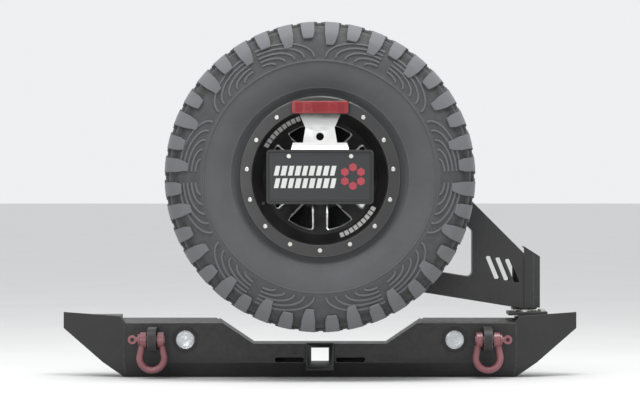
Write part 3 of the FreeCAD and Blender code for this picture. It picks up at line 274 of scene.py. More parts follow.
def shackle_paint():
    """Dark red powder coat on a drop-forged shackle: glossy over a lightly pitted skin, with small chips down
    to grey steel."""
    m, shader, place = new_finish("red_coated_forging", IOR=1.5, Coat_Weight=0.4, Coat_Roughness=0.15)
    skin = add(m, "TexNoise", None, {"Vector": place, "Scale": per_metre(5), "Detail": 4.0,
                                     "Roughness": 0.6})
    fade = add(m, "TexNoise", None, {"Vector": place, "Scale": per_metre(30), "Detail": 3.0})
    tone = add(m, "Mix", COLOUR_MIX, {MIX_FACTOR: fade.outputs["Fac"], MIX_A: linear("#6c363c"),
                                      MIX_B: linear("#945a61")})
    chips = add(m, "MapRange", None, {"Value": skin.outputs["Fac"], "From Min": 0.62, "From Max": 0.66,
                                      "To Max": 0.85})
    chipped = add(m, "Mix", COLOUR_MIX, {MIX_FACTOR: chips.outputs[0], MIX_A: tone.outputs[MIX_OUT],
                                         MIX_B: linear("#6b6461")})
    gloss = add(m, "MapRange", None, {"Value": skin.outputs["Fac"], "To Min": 0.25, "To Max": 0.55})
    bump = add(m, "Bump", None, {"Height": skin.outputs["Fac"], "Strength": 0.25, "Distance": 0.0008})
    wire(m, shader, {"Base Color": chipped.outputs[MIX_OUT], "Roughness": gloss.outputs[0],
                     "Normal": bump.outputs["Normal"]})
    return m


def moulded_abs():
    """Black ABS from a grained mould: an even, dull sheen over leather-fine pits."""
    m, shader, place = new_finish("black_moulded_abs", IOR=1.53)
    grain = add(m, "TexVoronoi", {"feature": "SMOOTH_F1"}, {"Vector": place, "Scale": per_metre(1.2)})
    film = add(m, "TexNoise", None, {"Vector": place, "Scale": per_metre(25), "Detail": 4.0})
    tone = add(m, "Mix", COLOUR_MIX, {MIX_FACTOR: film.outputs["Fac"], MIX_A: linear("#191919"),
                                      MIX_B: linear("#272727")})
    gloss = add(m, "MapRange", None, {"Value": film.outputs["Fac"], "To Min": 0.42, "To Max": 0.6})
    bump = add(m, "Bump", None, {"Height": grain.outputs["Distance"], "Strength": 0.2, "Distance": 0.0003})
    wire(m, shader, {"Base Color": tone.outputs[MIX_OUT], "Roughness": gloss.outputs[0],
                     "Normal": bump.outputs["Normal"]})
    return m


def moulded_rubber():
    """EPDM rubber of the stops, seals and grommets: matt black, chalky where weather has reached it."""
    m, shader, place = new_finish("moulded_epdm_rubber", IOR=1.5)
    chalk = add(m, "TexNoise", None, {"Vector": place, "Scale": per_metre(12), "Detail": 6.0,
                                      "Roughness": 0.7})
    tone = add(m, "Mix", COLOUR_MIX, {MIX_FACTOR: chalk.outputs["Fac"], MIX_A: linear("#161616"),
                                      MIX_B: linear("#333332")})
    bump = add(m, "Bump", None, {"Height": chalk.outputs["Fac"], "Strength": 0.2, "Distance": 0.0004})
    wire(m, shader, {"Base Color": tone.outputs[MIX_OUT], "Roughness": 0.7, "Normal": bump.outputs["Normal"]})
    return m


def red_acrylic():
    """Red PMMA of the brake light's lens: glossy, deep in colour and a little sun-faded."""
    m, shader, place = new_finish("red_pmma_lens", IOR=1.49, Transmission_Weight=0.25, Coat_Weight=0.5,
                                  Coat_Roughness=0.05)
    fade = add(m, "TexNoise", None, {"Vector": place, "Scale": per_metre(40), "Detail": 3.0})
    tone = add(m, "Mix", COLOUR_MIX, {MIX_FACTOR: fade.outputs["Fac"], MIX_A: linear("#7c0812"),
                                      MIX_B: linear("#a8121e")})
    gloss = add(m, "MapRange", None, {"Value": fade.outputs["Fac"], "To Min": 0.08, "To Max": 0.2})
    wire(m, shader, {"Base Color": tone.outputs[MIX_OUT], "Roughness": gloss.outputs[0]})
    return m


def clear_polycarbonate():
    """Clear polycarbonate of the reversing lights: hard-coated, with a trace of haze."""
    m, shader, place = new_finish("clear_polycarbonate", IOR=1.585, Transmission_Weight=0.9)
    haze = add(m, "TexNoise", None, {"Vector": place, "Scale": per_metre(15), "Detail": 4.0})
    gloss = add(m, "MapRange", None, {"Value": haze.outputs["Fac"], "To Min": 0.02, "To Max": 0.14})
    tone = add(m, "Mix", COLOUR_MIX, {MIX_FACTOR: haze.outputs["Fac"], MIX_A: linear("#f2f4f6"),
                                      MIX_B: linear("#ffffff")})
    wire(m, shader, {"Base Color": tone.outputs[MIX_OUT], "Roughness": gloss.outputs[0]})
    return m


def vacuum_aluminium():
    """Aluminium vapour-plated on moulded plastic, as in a lamp: mirror bright and a little milky."""
    m, shader, place = new_finish("vapour_plated_reflector", Metallic=1.0)
    milk = add(m, "TexNoise", None, {"Vector": place, "Scale": per_metre(6), "Detail": 3.0})
    tone = add(m, "Mix", COLOUR_MIX, {MIX_FACTOR: milk.outputs["Fac"], MIX_A: linear("#dcdfe2"),
                                      MIX_B: linear("#f8f9fa")})
    gloss = add(m, "MapRange", None, {"Value": milk.outputs["Fac"], "To Min": 0.16, "To Max": 0.34})
    wire(m, shader, {"Base Color": tone.outputs[MIX_OUT], "Roughness": gloss.outputs[0]})
    return m


def printed_enamel(name, dark, light):
    """Enamel baked on sheet: flat colour with a soft gloss, a faint orange-peel and a film of dust."""
    m, shader, place = new_finish(name, IOR=1.5, Coat_Weight=0.2, Coat_Roughness=0.25)
    dust = add(m, "TexNoise", None, {"Vector": place, "Scale": per_metre(30), "Detail": 6.0,
                                     "Roughness": 0.65})
    fleck = add(m, "TexNoise", None, {"Vector": place, "Scale": per_metre(1.5), "Detail": 2.0})
    tone = add(m, "Mix", COLOUR_MIX, {MIX_FACTOR: dust.outputs["Fac"], MIX_A: linear(dark),
                                      MIX_B: linear(light)})
    gloss = add(m, "MapRange", None, {"Value": dust.outputs["Fac"], "To Min": 0.35, "To Max": 0.6})
    bump = add(m, "Bump", None, {"Height": fleck.outputs["Fac"], "Strength": 0.08, "Distance": 0.0003})
    wire(m, shader, {"Base Color": tone.outputs[MIX_OUT], "Roughness": gloss.outputs[0],
                     "Normal": bump.outputs["Normal"]})
    return m


def studio_floor():
    """Pale matt vinyl of the studio floor, with the faintest mottling."""
    m, shader, place = new_finish("pale_studio_vinyl", IOR=1.45)
    mottle = add(m, "TexNoise", None, {"Vector": place, "Scale": per_metre(400), "Detail": 4.0})
    tone = add(m, "Mix", COLOUR_MIX, {MIX_FACTOR: mottle.outputs["Fac"], MIX_A: linear("#d6d6d5"),
                                      MIX_B: linear("#dddddc")})
    wire(m, shader, {"Base Color": tone.outputs[MIX_OUT], "Roughness": 0.75})
    return m


COAT = textured_powder_coat()
TYRE = tyre_rubber()
WHEEL = satin_wheel_paint()
MILLED = milled_aluminium()
BRUSHED = brushed_aluminium()
ZINC = zinc_plate()
STEEL = ground_steel()
RED_FORGING = shackle_paint()
ABS = moulded_abs()
RUBBER = moulded_rubber()
RED_LENS = red_acrylic()
CLEAR_LENS = clear_polycarbonate()
REFLECTOR = vacuum_aluminium()
PLATE_BLACK = printed_enamel("black_plate_enamel", "#161718", "#232527")
PLATE_WHITE = printed_enamel("white_plate_ink", "#bfc0be", "#d4d5d3")
PLATE_RED = printed_enamel("red_plate_ink", "#8a2431", "#a93a46")
BOARD = printed_enamel("lamp_board_lacquer", "#143f27", "#1d5735")
FLOOR = studio_floor()


# ---- shaping meshes --------------------------------------------------------------------------------------
def sharp_edges(mesh, degrees, wanted=None):
    """Edges between two faces that meet more steeply than this, of those wanted."""
    limit = math.radians(degrees)
    return [e for e in mesh.edges if len(e.link_faces) == 2 and e.calc_face_angle(0.0) > limit
            and (wanted is None or wanted(e))]


def round_off(mesh, edges, width, segments, narrow=False):
    """Rounds edges and returns the new faces. The width is in the mesh's own unit, and narrow pieces take
    less where their faces have no room for it."""
    return bmesh.ops.bevel(mesh, geom=edges, offset=width, offset_type="OFFSET", affect="EDGES",
                           segments=segments, profile=0.5, material=-1, clamp_overlap=narrow)["faces"]


def soften(mesh, edges, width, segments=2, rub=True, narrow=False):
    """Rounds edges, marks the new faces as rubbed, and returns them."""
    made = round_off(mesh, edges, width, segments, narrow)
    rubbed = mesh.faces.layers.float["rubbed"]
    for face in made:
        face[rubbed] = 1.0 if rub else 0.0
    return made


def put(mesh, name, body, finishes, stands_for=(), crease=38, level=True):
    """Turns a bmesh into a finished piece of the object: shaded, riding on its body, with its finishes."""
    for face in mesh.faces:
        face.smooth = True
    for edge in mesh.edges:
        if len(edge.link_faces) == 2 and edge.calc_face_angle(0.0) > math.radians(crease):
            edge.smooth = False
    data = bpy.data.meshes.new(name)
    mesh.to_mesh(data)
    mesh.free()
    for finish in finishes:
        data.materials.append(finish)
    piece = bpy.data.objects.new(name, data)
    bpy.context.scene.collection.objects.link(piece)
    if level:
        flats = piece.modifiers.new("flat faces stay flat", "WEIGHTED_NORMAL")
        flats.keep_sharp = True
    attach(piece, body)
    if stands_for:
        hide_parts(*stands_for)
    return piece


def merged_copy(node):
    """A CAD node's mesh with its triangles joined and its flat faces made whole."""
    mesh = bmesh.new()
    mesh.from_mesh(frame["nodes"][node].data)
    mesh.faces.layers.float.new("rubbed")
    bmesh.ops.remove_doubles(mesh, verts=mesh.verts, dist=0.01 * MM)
    for face in mesh.faces:
        face.material_index = 0
    bmesh.ops.dissolve_limit(mesh, angle_limit=math.radians(0.8), verts=mesh.verts, edges=mesh.edges)
    bmesh.ops.triangulate(mesh, faces=[f for f in mesh.faces if len(f.verts) > 4])
    return mesh


def scaled(mesh):
    """Turns a mesh made in millimetres to metres."""
    bmesh.ops.scale(mesh, vec=(MM, MM, MM), verts=mesh.verts)
    return mesh


def absorb(mesh, part):
    """Moves a part's mesh into a larger one."""
    carrier = bpy.data.meshes.new("carrier")
    part.to_mesh(carrier)
    part.free()
    mesh.from_mesh(carrier)
    bpy.data.meshes.remove(carrier)


def turned(mesh, profile, x, z, steps):
    """Turns an outline of (radius, y) about a line at X and Z that runs towards the vehicle."""
    verts = [mesh.verts.new((x + r, y, z)) for r, y in profile]
    edges = [mesh.edges.new(pair) for pair in zip(verts, verts[1:])]
    bmesh.ops.spin(mesh, geom=verts + edges, cent=(x, 0, z), axis=(0, 1, 0), angle=2 * math.pi, steps=steps,
                   use_merge=True)


def from_axle(vert, unit=1.0):
    """A vertex's distance from the axle in millimetres. The unit is a millimetre's length in the mesh."""
    return math.hypot(vert.co.x / unit, vert.co.z / unit - AXLE_Z)


# ---- CAD pieces with their edges broken and their real finishes ------------------------------------------
BODIES = frame["record"]["behaviour"]["bodies"]


def body_of_node(node):
    return next(body for body, nodes in BODIES.items() if node in nodes)


# pieces with faces too narrow for a full rounding all the way round
NARROW_PIECES = ("link_rod_ends",)


def dress(node, finish, edge):
    """A CAD piece with its sharp edges rounded by this many millimetres, in its finish."""
    mesh = merged_copy(node)
    soften(mesh, sharp_edges(mesh, 35), edge * MM, narrow=node in NARROW_PIECES)
    return put(mesh, node + "_finished", body_of_node(node), [finish], [node])


EDGES_BROKEN = {
    COAT: {"centre_face": 1.0, "wing_faces": 1.0, "top_plates": 0.8, "back_wall": 0.8, "pocket_plate": 0.8,
           "inner_ribs": 0.6, "frame_brackets": 1.0, "receiver": 0.9, "shackle_tabs": 1.8, "hinge_base": 0.9,
           "hinge_barrel": 0.8, "hinge_shroud": 0.7, "arm_rear_plate": 0.9, "arm_front_plate": 0.9,
           "arm_edge_strips": 0.4, "arm_brackets": 0.7, "mount_socket": 0.9, "mount_tube": 0.8,
           "hub_plate": 1.0, "centre_post": 0.7},
    ZINC: {"hinge_base_bolts": 0.5, "arm_fasteners": 0.5, "link_bolt": 0.5, "link_rod_ends": 0.7,
           "link_turnbuckle": 0.6, "hold_open_pin": 0.4, "wheel_studs": 0.4, "lug_nuts": 0.6,
           "hinge_dust_cap": 0.5, "bracket_fasteners": 0.3},
    STEEL: {"hinge_spindle": 0.5, "link_near_ball": 0.3, "link_far_ball": 0.3},
    BRUSHED: {"light_bracket": 0.35, "plate_holder": 0.35},
    RUBBER: {"bump_stops": 1.2, "valve_stem": 0.5},
    ABS: {"brake_light_housing": 0.8},
    RED_FORGING: {"left_shackle_bow": 0.9, "right_shackle_bow": 0.9, "left_shackle_pin": 0.8,
                  "right_shackle_pin": 0.8},
}
for finish, pieces in EDGES_BROKEN.items():
    for node, edge in pieces.items():
        dress(node, finish, edge)

# pieces inside others, and the lights' rubber grommets, keep their CAD shape
UNTOUCHED_SHAPES = {"spindle_nut_and_washers": ZINC, "bearing_inner_rings": STEEL,
                    "bearing_outer_rings": STEEL, "bearing_rollers": STEEL, "hinge_seal": RUBBER,
                    "hold_open_spring": STEEL, "brake_light_board": BOARD,
                    "reversing_light_grommets": RUBBER, "reversing_light_housings": ABS}
for node, finish in UNTOUCHED_SHAPES.items():
    slots = frame["nodes"][node].data.materials
    slots.clear()
    slots.append(finish)


# ---- tyre ------------------------------------------------------------------------------------------------
PITCHES = 40
PITCH = 2 * math.pi / PITCHES
TREAD_DEPTH = 13.0
BASE_R = TREAD_R - TREAD_DEPTH
BURIED = 1.5             # how far a block reaches into the carcass
PATTERN_R, PATTERN_OUTER_R = 331, 401     # where the sidewall's moulded ribs begin and end
# half of the carcass's section as (distance from the centre plane, radius), from the crown to the bead
SECTION = [(0, 427), (40, 427), (80, 426.3), (104, 424.8), (120, 421), (132, 414), (140, 404.5), (146, 392),
           (149.5, 376), (152, 357), (153.4, 338), (153.2, 329), (155.4, 327.5), (155.4, 325),
           (152.6, 323.5), (150.5, 305), (146.5, 286), (140.5, 268), (133.5, 254.5), (134.3, 252),
           (133.6, 249.5), (129.5, 247), (124, 241), (120.2, 236.4), (119, 233), (117.6, 228), (117, 219.4)]
LINING = [(97, 219.4), (96, 226), (112, 248), (136, 300), (142, 335), (138, 375), (125, 403), (104, 414),
          (0, 415)]
# how tall a block stands, by its distance along the section from the crown
LUG_HEIGHTS = [(0, TREAD_DEPTH), (108, TREAD_DEPTH), (122, 12.5), (136, 11.5), (150, 9.0), (166, 6.8),
               (182, 5.0), (400, 5.0)]


def read_off(table, at):
    """A value between the rows of a table of (place, value)."""
    for (a, va), (b, vb) in zip(table, table[1:]):
        if at <= b:
            return va + (vb - va) * (at - a) / (b - a)
    return table[-1][1]


SECTION_WAY = [0.0]
for before, after in zip(SECTION, SECTION[1:]):
    SECTION_WAY.append(SECTION_WAY[-1] + math.dist(before, after))
WIDTH_TABLE = [(way, point[0]) for way, point in zip(SECTION_WAY, SECTION)]
RADIUS_TABLE = [(way, point[1]) for way, point in zip(SECTION_WAY, SECTION)]
WAY_BY_RADIUS = [(-r, way) for way, (_, r) in zip(SECTION_WAY, SECTION)][6:]


def over_carcass(way, turn, height):
    """The place over the tyre's skin: along its section from the crown, round the axle, and outwards."""
    side = LEFT if way < 0 else RIGHT
    reach = abs(way)
    step = 3.0
    back, ahead = max(reach - step, 0.0), reach + step
    across = read_off(WIDTH_TABLE, ahead) - read_off(WIDTH_TABLE, back)
    down = read_off(RADIUS_TABLE, ahead) - read_off(RADIUS_TABLE, back)
    length = math.hypot(across, down)
    width = read_off(WIDTH_TABLE, reach) - height * down / length
    radius = read_off(RADIUS_TABLE, reach) + height * across / length
    width, radius = min(width, SIDE_Y - 0.2), min(radius, TREAD_R)
    return Vector((radius * math.sin(turn), AXLE_Y + side * width, AXLE_Z + radius * math.cos(turn)))


def lay_block(mesh, outline, height=1.0, rounding=1.6):
    """A tread block on the flat: its outline in (way, distance round), raised and rounded along its top."""
    corners = [mesh.verts.new((way, round_it, -BURIED)) for way, round_it in outline]
    floor = mesh.faces.new(corners)
    raised = bmesh.ops.extrude_face_region(mesh, geom=[floor])["geom"]
    top_verts = [v for v in raised if isinstance(v, bmesh.types.BMVert)]
    bmesh.ops.translate(mesh, vec=(0, 0, BURIED + height), verts=top_verts)
    top = [e for e in raised if isinstance(e, bmesh.types.BMEdge)]
    walls = [e for v in top_verts for e in v.link_edges if e not in top]
    round_off(mesh, top + walls, rounding, segments=1, narrow=True)


def cut_across(mesh, axis, places):
    """Cuts the flat blocks so that they can bend."""
    normal = Vector((0, 0, 0))
    normal[axis] = 1.0
    for place in places:
        point = normal * place
        bmesh.ops.bisect_plane(mesh, geom=mesh.verts[:] + mesh.edges[:] + mesh.faces[:], dist=1e-5,
                               plane_co=point, plane_no=normal)


def one_pitch():
    """The blocks of one pitch of the tread, laid flat with heights as a share of the tread's depth."""
    mesh = bmesh.new()
    arc = PITCH * BASE_R
    shoulder = [(90, -15), (112, -20), (150, -19.5), (171, -15), (182, -15), (182, 10), (171, 16),
                (150, 21), (112, 21), (94, 17)]
    short = [(88, -14), (110, -21), (146, -21), (164, -17), (164, 12), (146, 18), (110, 18), (92, 14)]
    inner_front = [(7, -26), (34, -31), (46, -16), (46, -2), (26, 2), (7, 8)]
    inner_back = [(50, -14), (78, -22), (83, 6), (72, 26), (52, 20), (30, 16), (30, 6), (50, 2)]
    for side, shift in ((RIGHT, 0.0), (LEFT, arc / 2)):
        for number in (0, 1):
            move = shift + number * arc
            lug = shoulder if number == 0 else short
            for outline in (lug, inner_front, inner_back):
                lay_block(mesh, [(side * way, round_it + move) for way, round_it in outline], TREAD_DEPTH)
    bmesh.ops.recalc_face_normals(mesh, faces=mesh.faces)
    cut_across(mesh, 0, [side * way for side in (LEFT, RIGHT) for way in (104, 116, 128, 139, 150, 160, 171)])
    return mesh


def swept_ribs(mesh):
    """Twelve fans of curved ribs moulded on each sidewall, every other one turned the other way. Each rib
    rises from the smooth part of the side and bends round until it runs along the shoulder."""
    fans, ribs, steps = 12, 5, 10
    inner_r, rise, gap, width = 337.0, 57.0, 11.2, 5.8
    for side in (LEFT, RIGHT):
        for fan in range(fans):
            hand = LEFT if fan % 2 else RIGHT
            middle = 2 * math.pi * (fan + 0.5) / fans
            for rib in range(ribs):
                strip = bmesh.ops.create_grid(mesh, x_segments=steps, y_segments=3, size=1.0)["verts"]
                tall, reach = rise - gap * rib, math.radians(24.8 - 4.7 * rib)
                base = math.radians(12.6) - reach
                for vert in strip:
                    swing = (vert.co.x + 1) / 2 * math.pi / 2
                    across = vert.co.y if abs(vert.co.y) > 0.9 else vert.co.y * 1.9
                    turn = base + reach * (1 - math.cos(swing))
                    radius = inner_r + tall * math.sin(swing)
                    lean = math.atan2(reach * radius * math.sin(swing), tall * math.cos(swing))
                    half = width / 2 * across
                    turn += half * math.cos(lean) / radius
                    radius -= half * math.sin(lean)
                    way = read_off(WAY_BY_RADIUS, -radius)
                    lift = 3.0 if abs(across) < 0.9 else -0.5
                    vert.co = over_carcass(side * way, middle + hand * turn, lift)
    return mesh


def tyre_piece():
    """The tyre: its carcass turned on the axle, the tread laid on in pitches, and the ribs of its sides."""
    mesh = bmesh.new()
    half = SECTION + LINING
    ring = [(-y, r) for y, r in SECTION[:0:-1]] + half + [(-y, r) for y, r in LINING[-2::-1]]
    verts = [mesh.verts.new((0, AXLE_Y + y, AXLE_Z + r)) for y, r in ring]
    edges = [mesh.edges.new(pair) for pair in zip(verts, verts[1:] + verts[:1])]
    bmesh.ops.spin(mesh, geom=verts + edges, cent=(0, AXLE_Y, AXLE_Z), axis=(0, 1, 0), angle=2 * math.pi,
                   steps=240, use_merge=True)
    height = mesh.verts.layers.float.new("height")
    # heights of the carcass for the painted shade: none on the smooth inner side, some between the sidewall
    # ribs, the most at the tread's base
    for vert in mesh.verts:
        radius = from_axle(vert)
        vert[height] = 0.0 if radius > PATTERN_OUTER_R else 0.22 if radius > PATTERN_R else 0.45

    flat = one_pitch()
    arc = PITCH * BASE_R
    for number in range(PITCHES // 2):
        laid = flat.copy()
        bmesh.ops.translate(laid, vec=(0, 2 * arc * number, 0), verts=laid.verts)
        raised = laid.verts.layers.float.new("height")
        for vert in laid.verts:
            way, round_it, share = vert.co
            tall = read_off(LUG_HEIGHTS, abs(way)) * share / TREAD_DEPTH
            # a block's share of its height sets the painted shade at its foot and the painted highlight on
            # its top
            vert[raised] = max(0.0, min(1.0, share / TREAD_DEPTH))
            vert.co = over_carcass(way, round_it / BASE_R, tall)
        absorb(mesh, laid)
    flat.free()
    ribs = swept_ribs(bmesh.new())
    raised = ribs.verts.layers.float.new("height")
    # the ribs get the painted highlight of proud parts
    for vert in ribs.verts:
        vert[raised] = 0.85
    absorb(mesh, ribs)
    bmesh.ops.recalc_face_normals(mesh, faces=mesh.faces)
    return put(scaled(mesh), "mud_terrain_tyre", "spare_wheel", [TYRE], ["tyre"], crease=50)


tyre_piece()


# ---- wheel -----------------------------------------------------------------------------------------------
WINDOW_INNER_R, WINDOW_OUTER_R = 82, 158
MILLED_WIDTH = 5.0       # the bright border round each window


def window_front_y(radius):
    """The front of the spokes at a distance from the axle."""
    return AXLE_Y - 50 - (radius - 95) * 30 / 57


def wheel_centre():
    """The wheel, with the front edges of its windows milled back to bright metal."""
    for node in ("wheel_centre", "wheel_barrel"):
        mesh = merged_copy(node)

        def window_front(edge):
            return all(WINDOW_INNER_R < from_axle(v, MM) < WINDOW_OUTER_R
                       and v.co.y / MM < window_front_y(from_axle(v, MM)) + 3 for v in edge.verts)

        milled = soften(mesh, sharp_edges(mesh, 30, window_front), MILLED_WIDTH * MM, segments=1, rub=False)
        for face in milled:
            face.material_index = 1
        # the border's inner side comes forward, so that it faces the front
        for vert in {v for face in milled for v in face.verts}:
            front = window_front_y(from_axle(vert, MM))
            if vert.co.y / MM > front + 2.0:
                vert.co.y = (front + 1.4) * MM
        soften(mesh, sharp_edges(mesh, 38, lambda e: not any(f.material_index for f in e.link_faces)),
               0.7 * MM)
        put(mesh, node + "_finished", "spare_wheel", [WHEEL, MILLED], [node], crease=30)


def clamp_ring():
    """The ring that holds the tyre's outer bead, with its edges broken."""
    mesh = merged_copy("clamp_ring")
    soften(mesh, sharp_edges(mesh, 35), 0.8 * MM)
    put(mesh, "clamp_ring_finished", "spare_wheel", [WHEEL], ["clamp_ring"])


def socket_screw(mesh, radius, height, socket, depth):
    """A cap screw's head standing up from Z = 0, with its hexagon socket."""
    profile = [(radius, -1.0), (radius, height - 1.2), (radius - 1.2, height), (socket * 1.25, height)]
    verts = [mesh.verts.new((r, 0, z)) for r, z in profile]
    edges = [mesh.edges.new(pair) for pair in zip(verts, verts[1:])]
    bmesh.ops.spin(mesh, geom=verts + edges, cent=(0, 0, 0), axis=(0, 0, 1), angle=2 * math.pi, steps=24,
                   use_merge=True)
    rim = [e for e in mesh.edges if e.is_boundary
           and all(math.hypot(v.co.x, v.co.y) < socket * 1.3 for v in e.verts)]
    mouth = bmesh.ops.create_circle(mesh, cap_ends=False, segments=6, radius=socket,
                                    matrix=Matrix.Translation((0, 0, height)))["verts"]
    mouth_edges = list({e for v in mouth for e in v.link_edges})
    bmesh.ops.bridge_loops(mesh, edges=rim + mouth_edges)
    walls = bmesh.ops.extrude_edge_only(mesh, edges=mouth_edges)["geom"]
    floor = [v for v in walls if isinstance(v, bmesh.types.BMVert)]
    bmesh.ops.translate(mesh, vec=(0, 0, -depth), verts=floor)
    bmesh.ops.contextual_create(mesh, geom=[e for e in walls if isinstance(e, bmesh.types.BMEdge)
                                            and all(v in floor for v in e.verts)])


def facing_out(x, y, z, turn=0.0):
    """The place and direction of a screw whose head faces away from the vehicle."""
    return (Matrix.Translation((x, y, z)) @ Matrix.Rotation(math.pi / 2, 4, "X")
            @ Matrix.Rotation(turn, 4, "Z"))


def ring_bolts():
    """Fifteen polished cap screws round the clamp ring."""
    count, circle = 15, 206.5
    dice = random.Random(7)
    mesh = bmesh.new()
    for i in range(count):
        angle = 2 * math.pi * i / count - math.pi / 2
        screw = bmesh.new()
        socket_screw(screw, 6.4, 4.9, 3.1, 3.0)
        place = facing_out(circle * math.cos(angle), RING_FRONT_Y, AXLE_Z + circle * math.sin(angle),
                           dice.uniform(0, math.pi / 3))
        bmesh.ops.transform(screw, matrix=place, verts=screw.verts)
        absorb(mesh, screw)
    bmesh.ops.recalc_face_normals(mesh, faces=mesh.faces)
    put(scaled(mesh), "clamp_ring_screws", "spare_wheel", [ZINC],
        ["clamp_ring_bolts"], crease=30)


def lip_y(radius):
    """The wheel's sloping lip in front of the spokes, at a distance from the axle."""
    return AXLE_Y - 84 - (radius - 162) * 36 / 24


def lip_dashes():
    """Two rows of short white-filled dashes on the wheel's lip, top left and bottom right."""
    count, circle, length, width = 9, 174, 13.0, 11.2
    mesh = bmesh.new()
    for middle in (math.radians(130), math.radians(-50)):
        for i in range(count):
            angle = middle + math.radians(4.8) * (i - count // 2)
            bar = bmesh.ops.create_cube(mesh, size=1.0)["verts"]
            for vert in bar:
                radius = circle + length * vert.co.x
                turn = angle + vert.co.y * width / circle
                y = lip_y(radius) - 0.5 * (vert.co.z + 0.4)
                vert.co = (radius * math.cos(turn), y, AXLE_Z + radius * math.sin(turn))
    bmesh.ops.recalc_face_normals(mesh, faces=mesh.faces)
    put(scaled(mesh), "white_lip_dashes", "spare_wheel", [PLATE_WHITE])


wheel_centre()
clamp_ring()
ring_bolts()
lip_dashes()


# ---- licence plate ---------------------------------------------------------------------------------------
PLATE_FRONT = PLATE_LOW.y
PLATE_MIDDLE_Z = (PLATE_LOW.z + PLATE_HIGH.z) / 2


def rounded_slab(mesh, half_x, middle_z, half_z, front, back, corner):
    """A box with its upright corners rounded, from a front to a back."""
    bmesh.ops.create_cube(mesh, size=1.0, matrix=Matrix.Translation((0, (front + back) / 2, middle_z))
                          @ Matrix.Diagonal((2 * half_x, back - front, 2 * half_z, 1)))
    uprights = [e for e in mesh.edges if abs(e.verts[0].co.y - e.verts[1].co.y) > 1]
    round_off(mesh, uprights, corner, segments=6)


def plate_frame():
    """The moulded surround: a tray whose rim holds the plate's edge."""
    low, high = (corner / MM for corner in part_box("plate_frame"))
    mesh = bmesh.new()
    mesh.faces.layers.float.new("rubbed")
    rounded_slab(mesh, high.x, PLATE_MIDDLE_Z, (high.z - low.z) / 2, low.y, high.y - 0.1, 10)
    front = [f for f in mesh.faces if f.normal.y < -0.9]
    bmesh.ops.inset_region(mesh, faces=front, thickness=6.5, use_even_offset=True)
    walls = bmesh.ops.extrude_face_region(mesh, geom=front)["geom"]
    bmesh.ops.translate(mesh, vec=(0, high.y - 0.6 - low.y, 0),
                        verts=[v for v in walls if isinstance(v, bmesh.types.BMVert)])
    bmesh.ops.delete(mesh, geom=front, context="FACES_ONLY")
    bmesh.ops.recalc_face_normals(mesh, faces=mesh.faces)
    soften(mesh, sharp_edges(mesh, 35), 0.8)
    put(scaled(mesh), "moulded_plate_frame", "light_and_plate", [ABS], ["plate_frame"])


def licence_plate():
    """The pressed plate: rounded corners, a raised rim, two rows of slanting bars and a ring of hexagons."""
    mesh = bmesh.new()
    half_x, half_z = (PLATE_HIGH.x - PLATE_LOW.x) / 2 - 0.3, (PLATE_HIGH.z - PLATE_LOW.z) / 2 - 0.3
    rounded_slab(mesh, half_x - 6, PLATE_MIDDLE_Z, half_z - 6, PLATE_FRONT + 0.6, PLATE_FRONT + 1.3, 14)
    front = [f for f in mesh.faces if f.normal.y < -0.9]
    bmesh.ops.inset_region(mesh, faces=front, thickness=4.0, use_even_offset=True)
    bmesh.ops.inset_region(mesh, faces=front, thickness=1.4, use_even_offset=True)
    for face in front:
        bmesh.ops.translate(mesh, vec=(0, -0.55, 0), verts=face.verts)
    bmesh.ops.inset_region(mesh, faces=front, thickness=2.2, use_even_offset=True)
    bmesh.ops.inset_region(mesh, faces=front, thickness=1.4, use_even_offset=True)
    for face in front:
        bmesh.ops.translate(mesh, vec=(0, 0.55, 0), verts=face.verts)
    ink_y, ink_depth = PLATE_FRONT + 0.3, 1.2
    first_x, bar_pitch, bar_height, slant = -120, 19.6, 27.0, 0.22
    for row in (17.5, -17.5):
        for i in range(9):
            bar = bmesh.ops.create_cube(mesh, size=1.0)["verts"]
            place = (Matrix.Translation((first_x + bar_pitch * i, ink_y, PLATE_MIDDLE_Z + row))
                     @ Matrix.Diagonal((12.5 + 1.5 * (i % 2), ink_depth, bar_height, 1)))
            bmesh.ops.transform(mesh, matrix=place, verts=bar)
            for vert in bar:
                vert.co.x += (vert.co.z - PLATE_MIDDLE_Z - row) * slant
            for face in {f for v in bar for f in v.link_faces}:
                face.material_index = 1
    centre_x, centre_z, ring_r, tile_r = 92, 1, 26, 12
    for i in range(6):
        angle = math.pi / 3 * i + math.pi / 6
        x, z = centre_x + ring_r * math.cos(angle), centre_z + ring_r * math.sin(angle)
        tile = bmesh.ops.create_cone(mesh, cap_ends=True, segments=6, radius1=tile_r, radius2=tile_r,
                                     depth=ink_depth,
                                     matrix=facing_out(x, ink_y, PLATE_MIDDLE_Z + z))["verts"]
        for face in {f for v in tile for f in v.link_faces}:
            face.material_index = 2
    put(scaled(mesh), "pressed_licence_plate", "light_and_plate",
        [PLATE_BLACK, PLATE_WHITE, PLATE_RED], ["licence_plate"], crease=25)


plate_frame()
licence_plate()


